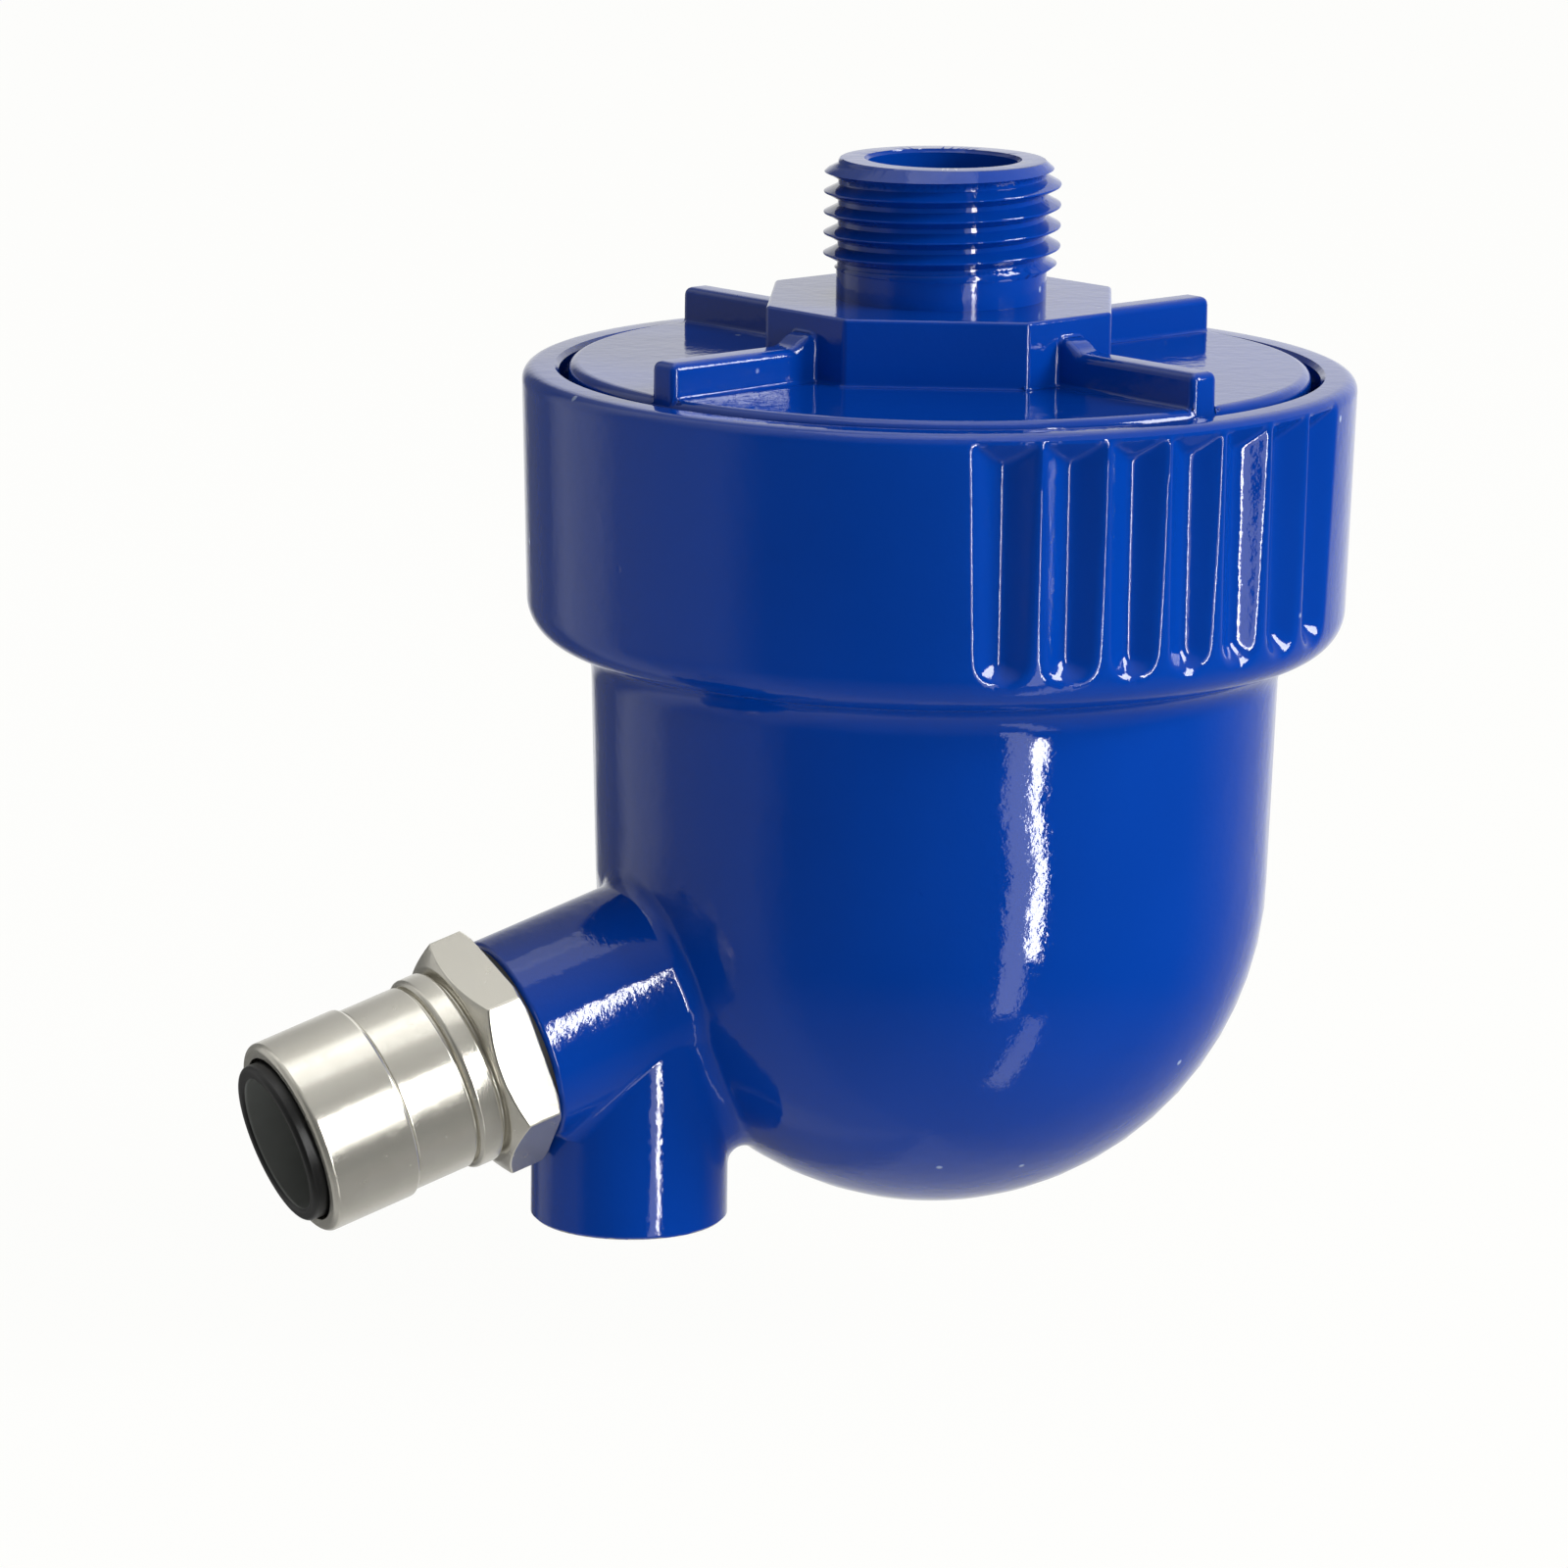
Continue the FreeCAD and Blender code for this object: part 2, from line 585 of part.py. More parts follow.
def bowl():
    """Collar, bowl, outlet boss and vertical port, in one casting."""
    boss = placed(
        turned(
            (0, 0),
            (BOSS_RADIUS, 0),
            (BOSS_RADIUS, BOSS_REACH - BOSS_EDGE),
            (BOSS_RADIUS - BOSS_EDGE, BOSS_REACH),
            (0, BOSS_REACH),
        ),
        OUTLET,
    )
    port = turned(
        (0, PORT_MEETS_OUTLET),
        (0, PORT_END),
        (PORT_RADIUS - PORT_EDGE, PORT_END),
        (PORT_RADIUS, PORT_END + PORT_EDGE),
        (PORT_RADIUS, PORT_MEETS_OUTLET),
    )
    port.translate(Vector(-PORT_OFFSET, 0, 0))
    outside = fused(bowl_outside(), boss, port)
    outside = outside.makeFillet(JUNCTION_FILLET, junction_edges(outside))
    pad = placed(cylinder(SEAT_PAD_RADIUS, SEAT_REACH, BOSS_REACH - BOSS_THREAD_DEPTH), OUTLET)
    shell = fused(outside.cut(bowl_hollow()), pad)
    outlet_bore = placed(
        turned(
            (0, SEAT_REACH - OVERRUN),
            (SEAT_SHANK_RADIUS + THREAD_FIT, SEAT_REACH - OVERRUN),
            (SEAT_SHANK_RADIUS + THREAD_FIT, SEAT_SHANK_END),
            (PASSAGE_RADIUS, SEAT_SHANK_END),
            (PASSAGE_RADIUS, BOSS_REACH - BOSS_THREAD_DEPTH),
            (QUARTER_THREAD_RADIUS + THREAD_FIT, BOSS_REACH - BOSS_THREAD_DEPTH),
            (QUARTER_THREAD_RADIUS + THREAD_FIT, BOSS_REACH + OVERRUN),
            (0, BOSS_REACH + OVERRUN),
        ),
        OUTLET,
    )
    port_bore = turned(
        (0, PORT_END - OVERRUN),
        (QUARTER_THREAD_RADIUS + THREAD_FIT, PORT_END - OVERRUN),
        (QUARTER_THREAD_RADIUS + THREAD_FIT, PORT_END + PORT_THREAD_DEPTH),
        (PASSAGE_RADIUS, PORT_END + PORT_THREAD_DEPTH),
        (PASSAGE_RADIUS, PORT_MEETS_OUTLET),
        (0, PORT_MEETS_OUTLET),
    )
    port_bore.translate(Vector(-PORT_OFFSET, 0, 0))
    return shell.cut([outlet_bore, port_bore] + flute_cutters())


def port_plug():
    """Threaded plug in the vertical port, with a hexagon socket from below."""
    low = PORT_END + PLUG_RECESS
    plug = turned(
        (0, low),
        (QUARTER_THREAD_RADIUS - PORT_EDGE, low),
        (QUARTER_THREAD_RADIUS, low + PORT_EDGE),
        (QUARTER_THREAD_RADIUS, low + PLUG_LENGTH),
        (0, low + PLUG_LENGTH),
    )
    plug = plug.cut(hexagon(PLUG_SOCKET, low - OVERRUN, low + PLUG_SOCKET_DEPTH))
    plug.translate(Vector(-PORT_OFFSET, 0, 0))
    return plug


def valve_seat():
    """Screwed-in seat with a hexagon flange, a nozzle and the orifice."""
    body = cylinder(SEAT_SHANK_RADIUS, SEAT_FLANGE_BACK, SEAT_SHANK_END)
    flange = hexagon(SEAT_HEX, SEAT_FLANGE_FACE, SEAT_FLANGE_BACK)
    nozzle = turned(
        (0, SEAT_TIP),
        (SEAT_NOZZLE_TIP_RADIUS, SEAT_TIP),
        (SEAT_NOZZLE_RADIUS, SEAT_FLANGE_FACE),
        (0, SEAT_FLANGE_FACE),
    )
    orifice = cylinder(SEAT_ORIFICE_RADIUS, SEAT_TIP - OVERRUN, SEAT_SHANK_END + OVERRUN)
    return placed(fused(body, flange, nozzle).cut(orifice), OUTLET)


def seat_washer():
    """Sealing washer between the bracket and the pad in the bowl."""
    outer = SEAT_HEX / 2 + SEAT_WASHER_RIM
    return placed(ring(outer, SEAT_SHANK_RADIUS + THREAD_FIT, BRACKET_FACE, SEAT_REACH), OUTLET)


def pivot_bracket():
    """Sheet bracket clamped under the seat, with two ears for the pivot pin."""
    inside = BRACKET_INSIDE / 2
    outside = inside + BRACKET_SHEET
    ear_low = PIVOT_HEIGHT - BRACKET_EAR_WIDTH / 2
    base = block(
        -BRACKET_BOTTOM, PIVOT_HEIGHT + BRACKET_EAR_WIDTH / 2,
        -outside, outside, SEAT_FLANGE_BACK, BRACKET_FACE,
    )
    base = base.cut(cylinder(SEAT_SHANK_RADIUS + THREAD_FIT, SEAT_FLANGE_BACK, BRACKET_FACE))
    ears = []
    for side in (-1, 1):
        low, high = sorted((side * inside, side * outside))
        ear = block(ear_low, ear_low + BRACKET_EAR_WIDTH, low, high, SEAT_TIP, SEAT_FLANGE_BACK)
        tip = cylinder(BRACKET_EAR_WIDTH / 2, low, high)
        tip.rotate(Vector(0, 0, 0), Vector(1, 0, 0), -90)
        tip.translate(Vector(PIVOT_HEIGHT, 0, SEAT_TIP))
        ears += [ear, tip]
    bracket = fused(base, *ears)
    hole = cylinder(PIN_RADIUS, -outside - OVERRUN, outside + OVERRUN)
    hole.rotate(Vector(0, 0, 0), Vector(1, 0, 0), -90)
    hole.translate(Vector(PIVOT_HEIGHT, 0, SEAT_TIP))
    return placed(bracket.cut(hole), OUTLET)


def pivot_pin():
    """Pin through the bracket's ears, which carries the lever."""
    half = BRACKET_INSIDE / 2 + BRACKET_SHEET + PIN_CLIP_THICKNESS + PIN_END
    return on_pin_axis(cylinder(PIN_RADIUS, -half, half), LEVER, Vector(0, 0, 0))


def pin_clips():
    """Two clips on the ends of the pin, outside the ears."""
    inner = BRACKET_INSIDE / 2 + BRACKET_SHEET
    outer = inner + PIN_CLIP_THICKNESS
    half_gap = PIN_CLIP_GAP / 2
    clips = []
    for side in (-1, 1):
        low, high = sorted((side * inner, side * outer))
        clip = ring(PIN_CLIP_RADIUS, PIN_RADIUS, low, high)
        clip = clip.cut(block(0, PIN_CLIP_RADIUS + OVERRUN, -half_gap, half_gap, low, high))
        clips.append(on_pin_axis(clip, LEVER, Vector(0, 0, 0)))
    return Part.makeCompound(clips)


def lever_arm():
    """Bent sheet lever: two cheeks on the pin, a cup for the valve plug and a tab for the float."""
    inside = LEVER_INSIDE / 2
    outside = inside + LEVER_SHEET
    half = LEVER_DEPTH / 2
    tab_end = LEVER_TAB_REACH + LEVER_TAB
    cup_low = SEAT_TIP - VALVE_LIFT_GAP - VALVE_CUP_HEIGHT
    pieces = []
    for side in (-1, 1):
        low, high = sorted((side * inside, side * outside))
        arm = placed(block(-half, half, low, high, 0, tab_end), LEVER)
        eye = on_pin_axis(cylinder(LEVER_EYE_RADIUS, low, high), LEVER, Vector(0, 0, 0))
        leg_outline = [
            Vector(PIVOT_HEIGHT, low, SEAT_TIP + LEVER_LEG_RISE),
            Vector(0, low, cup_low + LEVER_LEG_RISE),
            Vector(0, low, cup_low),
            Vector(PIVOT_HEIGHT, low, SEAT_TIP - LEVER_EYE_RADIUS),
        ]
        leg_face = Part.Face(Part.makePolygon(leg_outline + leg_outline[:1]))
        leg = placed(leg_face.extrude(Vector(0, high - low, 0)), OUTLET)
        pieces += [arm, eye, leg]
    tab = block(-half, half, -outside, outside, LEVER_TAB_REACH, tab_end)
    tab = tab.cut(cylinder(STUD_RADIUS + THREAD_FIT, LEVER_TAB_REACH, tab_end))
    cup = cylinder(VALVE_CUP_RADIUS, cup_low, cup_low + VALVE_CUP_HEIGHT)
    cup = cup.cut(cylinder(VALVE_PLUG_RADIUS, cup_low + VALVE_CUP_FLOOR, SEAT_TIP))
    lever = fused(placed(tab, LEVER), placed(cup, OUTLET), *pieces)
    plug_room = placed(cylinder(VALVE_PLUG_RADIUS, cup_low + VALVE_CUP_FLOOR, SEAT_TIP), OUTLET)
    pin_hole = cylinder(PIN_RADIUS + RUNNING_FIT, -outside - OVERRUN, outside + OVERRUN)
    return lever.cut([plug_room, on_pin_axis(pin_hole, LEVER, Vector(0, 0, 0))])


def valve_plug():
    """Rubber plug in the lever's cup, which closes the orifice."""
    top = SEAT_TIP - VALVE_LIFT_GAP
    low = top - VALVE_CUP_HEIGHT + VALVE_CUP_FLOOR
    return placed(cylinder(VALVE_PLUG_RADIUS, low, top), OUTLET)


def float_half(side):
    """One pressed half of the float ball, with half of the welded lip. Side 1 is the far half."""
    outer = FLOAT_RADIUS
    inner = FLOAT_RADIUS - FLOAT_WALL
    lip = outer + FLOAT_LIP
    half_lip = FLOAT_LIP_WIDTH / 2
    lip_angle = math.degrees(math.asin(half_lip / outer))
    shell = turned(
        (inner, 0),
        (lip, 0),
        (lip, half_lip),
        (outer * math.cos(math.radians(lip_angle)), half_lip),
        arc_to((0, 0), outer, (90 + lip_angle) / 2, 90),
        (0, inner),
        arc_to((0, 0), inner, 45, 0),
    )
    if side < 0:
        shell.rotate(Vector(0, 0, 0), Vector(1, 0, 0), 180)
        hole = cylinder(STUD_RADIUS, -outer - OVERRUN, 0)
        shell = shell.cut(hole)
    shell.translate(Vector(0, 0, FLOAT_REACH))
    return placed(shell, LEVER)


def float_stud():
    """Threaded stud welded into the near half of the float, with a shoulder against the tab."""
    ball_start = FLOAT_REACH - FLOAT_RADIUS
    tab_end = LEVER_TAB_REACH + LEVER_TAB
    stud = cylinder(STUD_RADIUS, LEVER_TAB_REACH - NUT_HEIGHT - STUD_END, ball_start + STUD_END)
    shoulder = cylinder(STUD_SHOULDER_RADIUS, tab_end, ball_start + STUD_END)
    shoulder = shoulder.cut(Part.makeSphere(FLOAT_RADIUS, Vector(0, 0, FLOAT_REACH)))
    return placed(fused(stud, shoulder), LEVER)


def float_nut():
    """Nut that clamps the stud to the lever's tab."""
    low = LEVER_TAB_REACH - NUT_HEIGHT
    nut = hexagon(NUT_ACROSS, low, LEVER_TAB_REACH)
    return placed(nut.cut(cylinder(STUD_RADIUS, low, LEVER_TAB_REACH)), LEVER)


def fitting_face_seal():
    """Thin ring seal between the boss and the fitting's hexagon."""
    inner = QUARTER_THREAD_RADIUS + THREAD_FIT
    return placed(ring(FACE_SEAL_RADIUS, inner, BOSS_REACH, HEX_BACK), OUTLET)


def fitting_body():
    """Threaded shank, hexagon, ring and barrel of the tube fitting."""
    shank_start = BOSS_REACH - FITTING_SHANK
    corner = HEX_ACROSS / math.sqrt(3) + OVERRUN
    rise = math.tan(math.radians(HEX_CHAMFER_ANGLE)) * (corner - HEX_FACE_RADIUS)
    crown = turned(
        (0, HEX_BACK),
        (HEX_BACK_FACE_RADIUS, HEX_BACK),
        (corner, HEX_BACK + HEX_BACK_CHAMFER),
        (corner, HEX_FRONT - rise),
        (HEX_FACE_RADIUS, HEX_FRONT),
        (0, HEX_FRONT),
    )
    hexagon_part = hexagon(HEX_ACROSS, HEX_BACK, HEX_FRONT, -HEX_TURN_ANGLE).common(crown)
    barrel = turned(
        (0, shank_start),
        (QUARTER_THREAD_RADIUS - BOSS_EDGE, shank_start),
        (QUARTER_THREAD_RADIUS, shank_start + BOSS_EDGE),
        (QUARTER_THREAD_RADIUS, HEX_BACK),
        (GROOVE_RADIUS, HEX_BACK),
        (GROOVE_RADIUS, HEX_FRONT + GROOVE_WIDTH),
        (RING_RADIUS - RING_EDGE, HEX_FRONT + GROOVE_WIDTH),
        (RING_RADIUS, HEX_FRONT + GROOVE_WIDTH + RING_EDGE),
        (RING_RADIUS, RING_FRONT - RING_EDGE),
        (RING_RADIUS - RING_EDGE, RING_FRONT),
        (GROOVE_RADIUS, RING_FRONT),
        (GROOVE_RADIUS, RING_FRONT + GROOVE_WIDTH),
        (BARREL_RADIUS, RING_FRONT + GROOVE_WIDTH),
        (BARREL_RADIUS, BARREL_FRONT),
        (SPIGOT_RADIUS, BARREL_FRONT),
        (SPIGOT_RADIUS, SPIGOT_FRONT),
        (0, SPIGOT_FRONT),
    )
    bore = turned(
        (0, shank_start - OVERRUN),
        (FITTING_BORE_RADIUS, shank_start - OVERRUN),
        (FITTING_BORE_RADIUS, TUBE_STOP),
        (TUBE_BORE_RADIUS, TUBE_STOP),
        (TUBE_BORE_RADIUS, SEAL_POCKET_FLOOR),
        (SEAL_POCKET_RADIUS, SEAL_POCKET_FLOOR),
        (SEAL_POCKET_RADIUS, SPIGOT_FRONT + OVERRUN),
        (0, SPIGOT_FRONT + OVERRUN),
    )
    return placed(fused(barrel, hexagon_part).cut(bore), OUTLET)


def tube_seal():
    """Rubber ring that seals on the tube."""
    outer = SEAL_POCKET_RADIUS
    inner = TUBE_RADIUS + TUBE_FIT
    edge = (outer - inner) / 4
    seal = turned(
        (inner + edge, SEAL_POCKET_FLOOR),
        (outer, SEAL_POCKET_FLOOR),
        (outer, SPIGOT_FRONT),
        (inner + edge, SPIGOT_FRONT),
        (inner, SPIGOT_FRONT - edge),
        (inner, SEAL_POCKET_FLOOR + edge),
    )
    return placed(seal, OUTLET)


def grip_ring():
    """Toothed steel ring that holds the tube, between the body and the sleeve."""
    high = SPIGOT_FRONT + GRIP_THICKNESS
    plate = ring(SPIGOT_RADIUS, TUBE_RADIUS + 2 * TUBE_FIT, SPIGOT_FRONT, high)
    half = GRIP_SLOT_WIDTH / 2
    gap = block(0, SPIGOT_RADIUS - GRIP_RIM, -half, half, SPIGOT_FRONT, high)
    return placed(plate.cut(all_round(gap, GRIP_TEETH)), OUTLET)


def fitting_sleeve():
    """End sleeve pressed over the body's spigot, with the lip that keeps the collet in."""
    grip_top = SPIGOT_FRONT + GRIP_THICKNESS
    lip_start = FITTING_END - COLLET_HEAD_LENGTH - SLEEVE_LIP_LENGTH
    sleeve = turned(
        (SPIGOT_RADIUS, BARREL_FRONT),
        (SLEEVE_RADIUS - RING_EDGE, BARREL_FRONT),
        (SLEEVE_RADIUS, BARREL_FRONT + RING_EDGE),
        (SLEEVE_RADIUS, FITTING_END - SLEEVE_ROUND),
        arc_to((SLEEVE_RADIUS - SLEEVE_ROUND, FITTING_END - SLEEVE_ROUND), SLEEVE_ROUND, 45, 90),
        (SLEEVE_MOUTH_RADIUS, FITTING_END),
        (SLEEVE_MOUTH_RADIUS, lip_start + SLEEVE_LIP_LENGTH),
        (COLLET_STEM_RADIUS + RUNNING_FIT, lip_start + SLEEVE_LIP_LENGTH),
        (COLLET_STEM_RADIUS + RUNNING_FIT, lip_start),
        (SLEEVE_MOUTH_RADIUS, lip_start),
        (SLEEVE_MOUTH_RADIUS, grip_top),
        (SPIGOT_RADIUS, grip_top),
    )
    return placed(sleeve, OUTLET)


def release_collet():
    """Plastic release collet, with a head outside the lip and slit feet behind it."""
    lip_start = FITTING_END - COLLET_HEAD_LENGTH - SLEEVE_LIP_LENGTH
    lip_end = lip_start + SLEEVE_LIP_LENGTH
    foot_start = SPIGOT_FRONT + GRIP_THICKNESS + COLLET_TRAVEL + 2 * RUNNING_FIT
    head_start = lip_end + COLLET_TRAVEL + 2 * RUNNING_FIT
    head_end = FITTING_END + COLLET_PROUD
    foot_radius = COLLET_STEM_RADIUS + COLLET_BARB
    collet = turned(
        (TUBE_BORE_RADIUS, foot_start),
        (COLLET_STEM_RADIUS, foot_start),
        (foot_radius, foot_start + COLLET_BARB),
        (foot_radius, lip_start - RUNNING_FIT),
        (COLLET_STEM_RADIUS, lip_start - RUNNING_FIT),
        (COLLET_STEM_RADIUS, head_start),
        (COLLET_HEAD_RADIUS, head_start),
        (COLLET_HEAD_RADIUS, head_end - RING_EDGE),
        (COLLET_HEAD_RADIUS - RING_EDGE, head_end),
        (TUBE_BORE_RADIUS + RING_EDGE, head_end),
        (TUBE_BORE_RADIUS, head_end - RING_EDGE),
    )
    half = COLLET_SLOT_WIDTH / 2
    slot = block(0, foot_radius + OVERRUN, -half, half, foot_start - OVERRUN, lip_start)
    return placed(collet.cut(all_round(slot, COLLET_SLOTS)), OUTLET)


NODES = {
    "cover": cover,
    "inlet_strainer": inlet_strainer,
    "strainer_retaining_ring": strainer_retaining_ring,
    "cover_seal": cover_seal,
    "bowl": bowl,
    "port_plug": port_plug,
    "valve_seat": valve_seat,
    "seat_washer": seat_washer,
    "pivot_bracket": pivot_bracket,
    "pivot_pin": pivot_pin,
    "pin_clips": pin_clips,
    "lever_arm": lever_arm,
    "valve_plug": valve_plug,
    "float_near_half": lambda: float_half(-1),
    "float_far_half": lambda: float_half(1),
    "float_stud": float_stud,
    "float_nut": float_nut,
    "fitting_face_seal": fitting_face_seal,
    "fitting_body": fitting_body,
    "tube_seal": tube_seal,
    "grip_ring": grip_ring,
    "fitting_sleeve": fitting_sleeve,
    "release_collet": release_collet,
}

os.makedirs("parts", exist_ok=True)
for name, make in NODES.items():
    make().exportStep(f"parts/{name}.step")
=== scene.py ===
import json
import math

import bmesh
import bpy
from mathutils import Matrix, Vector
from mathutils.bvhtree import BVHTree


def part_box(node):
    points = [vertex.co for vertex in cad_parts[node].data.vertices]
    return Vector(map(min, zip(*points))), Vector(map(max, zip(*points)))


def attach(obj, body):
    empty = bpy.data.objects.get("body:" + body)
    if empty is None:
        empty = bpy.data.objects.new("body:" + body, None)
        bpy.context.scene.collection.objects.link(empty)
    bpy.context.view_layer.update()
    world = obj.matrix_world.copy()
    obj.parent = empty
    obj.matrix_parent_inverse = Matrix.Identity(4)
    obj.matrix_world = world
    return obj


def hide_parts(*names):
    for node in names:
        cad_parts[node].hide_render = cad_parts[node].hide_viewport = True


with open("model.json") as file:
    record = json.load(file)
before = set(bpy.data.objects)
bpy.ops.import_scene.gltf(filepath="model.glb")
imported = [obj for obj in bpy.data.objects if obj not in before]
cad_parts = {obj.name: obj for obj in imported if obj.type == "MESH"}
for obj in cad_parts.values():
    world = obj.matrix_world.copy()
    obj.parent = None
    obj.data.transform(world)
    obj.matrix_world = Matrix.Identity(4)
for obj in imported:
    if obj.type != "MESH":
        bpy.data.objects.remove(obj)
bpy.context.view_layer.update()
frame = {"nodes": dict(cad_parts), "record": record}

bl_info = {
    "name": "Float Drain Valve",
    "version": (1, 0, 0),
    "blender": (4, 5, 0),
    "location": "3D Viewport > Sidebar > Drain Valve",
    "description": "Dresses the float drain valve: castings, inlet thread, tube fitting, finishes and studio",
    "category": "Object",
}

MM = 0.001

# The boss leaves the bowl towards -X and falls by this angle.
OUTLET_FALL = math.radians(17.4)
OUTLET_START = Vector((0.0, 0.0, -54.2 * MM))
PORT_PLACE = Vector((-29.66 * MM, 0.0, -84.1 * MM))


# Settings that a user may change

class DrainCastingSettings(bpy.types.PropertyGroup):
    """Edges and paint of the two castings."""

    edge_round: bpy.props.FloatProperty(
        name="Edge rounding",
        description="Rounding of the wrench block's edges",
        default=0.35 * MM, unit="LENGTH",
    )
    root_round: bpy.props.FloatProperty(
        name="Root rounding",
        description="Rounding where the block and the wings leave the plate",
        default=0.35 * MM, unit="LENGTH",
    )
    paint: bpy.props.FloatVectorProperty(
        name="Paint",
        description="Colour of the blue enamel",
        default=(0.0006, 0.041, 0.315), subtype="COLOR", size=3,
    )
    peel: bpy.props.FloatProperty(
        name="Orange peel",
        description="Width of one swell in the paint's surface",
        default=2.6 * MM, unit="LENGTH",
    )


class DrainCoverSettings(bpy.types.PropertyGroup):
    """The cover's plate, wrench block and wings, as cast."""

    turn: bpy.props.FloatProperty(
        name="Turn",
        description="Turn of the block and the wings about the inlet's axis",
        default=math.radians(-28.6), subtype="ANGLE",
    )
    plate_radius: bpy.props.FloatProperty(
        name="Plate radius", description="Radius of the cover plate",
        default=32.85 * MM, unit="LENGTH",
    )
    plate_top: bpy.props.FloatProperty(
        name="Plate top", description="Height of the plate's upper face",
        default=-9.2 * MM, unit="LENGTH",
    )
    plate_round: bpy.props.FloatProperty(
        name="Plate rounding", description="Rounding of the plate's rim",
        default=0.9 * MM, unit="LENGTH",
    )
    lip: bpy.props.FloatProperty(
        name="Lip", description="Height of the plate's rim over the skirt's step",
        default=3.0 * MM, unit="LENGTH",
    )
    block_top: bpy.props.FloatProperty(
        name="Block top", description="Height of the wrench block's upper face",
        default=-3.3 * MM, unit="LENGTH",
    )
    block_across: bpy.props.FloatProperty(
        name="Block across", description="Distance between two long faces of the block",
        default=30.16 * MM, unit="LENGTH",
    )
    block_front: bpy.props.FloatProperty(
        name="Block face", description="Width of a long face of the block",
        default=16.0 * MM, unit="LENGTH",
    )
    wing_top: bpy.props.FloatProperty(
        name="Wing top", description="Height of the wings' upper edges",
        default=-6.1 * MM, unit="LENGTH",
    )
    wing_width: bpy.props.FloatProperty(
        name="Wing thickness", description="Thickness of a wing",
        default=3.0 * MM, unit="LENGTH",
    )
    wing_round: bpy.props.FloatProperty(
        name="Wing rounding", description="Rounding of the wings' edges",
        default=0.75 * MM, unit="LENGTH",
    )
    wing_knob: bpy.props.FloatProperty(
        name="Root rise", description="Height that a wing's root climbs up the block",
        default=1.1 * MM, unit="LENGTH",
    )


class DrainCollarSettings(bpy.types.PropertyGroup):
    """The bowl's collar and the flutes pressed into it."""

    radius: bpy.props.FloatProperty(
        name="Radius", description="Radius under the collar's rounded top",
        default=36.95 * MM, unit="LENGTH",
    )
    foot_radius: bpy.props.FloatProperty(
        name="Foot radius", description="Radius over the collar's rounded foot",
        default=36.448 * MM, unit="LENGTH",
    )
    flute_slope: bpy.props.FloatProperty(
        name="Flute slope", description="Rise of a flute's wall for each millimetre across",
        default=0.86,
    )
    flute_round: bpy.props.FloatProperty(
        name="Flute rounding", description="Softness of a flute's root",
        default=0.9 * MM, unit="LENGTH",
    )
    flute_half_width: bpy.props.FloatProperty(
        name="Flute half width", description="Half the width of a flute at the collar's foot",
        default=2.35 * MM, unit="LENGTH",
    )
    flute_pitch: bpy.props.FloatProperty(
        name="Flute pitch", description="Distance between two flutes along the collar",
        default=5.933 * MM, unit="LENGTH",
    )
    flute_count: bpy.props.IntProperty(
        name="Flutes", description="Flutes in each of the two opposite groups", default=7,
    )
    group: bpy.props.FloatProperty(
        name="Group", description="Place of the first group's middle round the collar",
        default=math.radians(-80.7), subtype="ANGLE",
    )
    edge_round: bpy.props.FloatProperty(
        name="Ridge rounding", description="Softness of the ridges between the flutes",
        default=0.34 * MM, unit="LENGTH",
    )


class DrainThreadSettings(bpy.types.PropertyGroup):
    """The inlet's pipe thread."""

    pitch: bpy.props.FloatProperty(
        name="Pitch",
        description="Rise of the thread in one turn",
        default=1.814 * MM, unit="LENGTH",
    )
    crest_radius: bpy.props.FloatProperty(
        name="Crest radius",
        description="Radius over the crests",
        default=10.4775 * MM, unit="LENGTH",
    )
    root_radius: bpy.props.FloatProperty(
        name="Root radius",
        description="Radius at the bottom of the groove",
        default=9.22 * MM, unit="LENGTH",
    )
    flank: bpy.props.FloatProperty(
        name="Flank angle",
        description="Angle between a flank and the plane across the axis",
        default=math.radians(27.5), subtype="ANGLE",
    )
    crest_height: bpy.props.FloatProperty(
        name="Crest height",
        description="Height of one crest on the +X side, which sets how the thread is turned",
        default=5.125 * MM, unit="LENGTH",
    )


class DrainFittingSettings(bpy.types.PropertyGroup):
    """Edges and finish of the tube fitting."""

    edge_round: bpy.props.FloatProperty(
        name="Edge rounding",
        description="Rounding on the turned and milled edges",
        default=0.14 * MM, unit="LENGTH",
    )
    plate: bpy.props.FloatVectorProperty(
        name="Nickel",
        description="Colour of the nickel plate",
        default=(0.80, 0.775, 0.70), subtype="COLOR", size=3,
    )
    # This grey is painted on the collet's bore wall as painted light; the plastic itself is the near-black
    # face colour.
    collet: bpy.props.FloatVectorProperty(
        name="Collet",
        description="Colour of the release collet's plastic",
        default=(0.13, 0.137, 0.13), subtype="COLOR", size=3,
    )


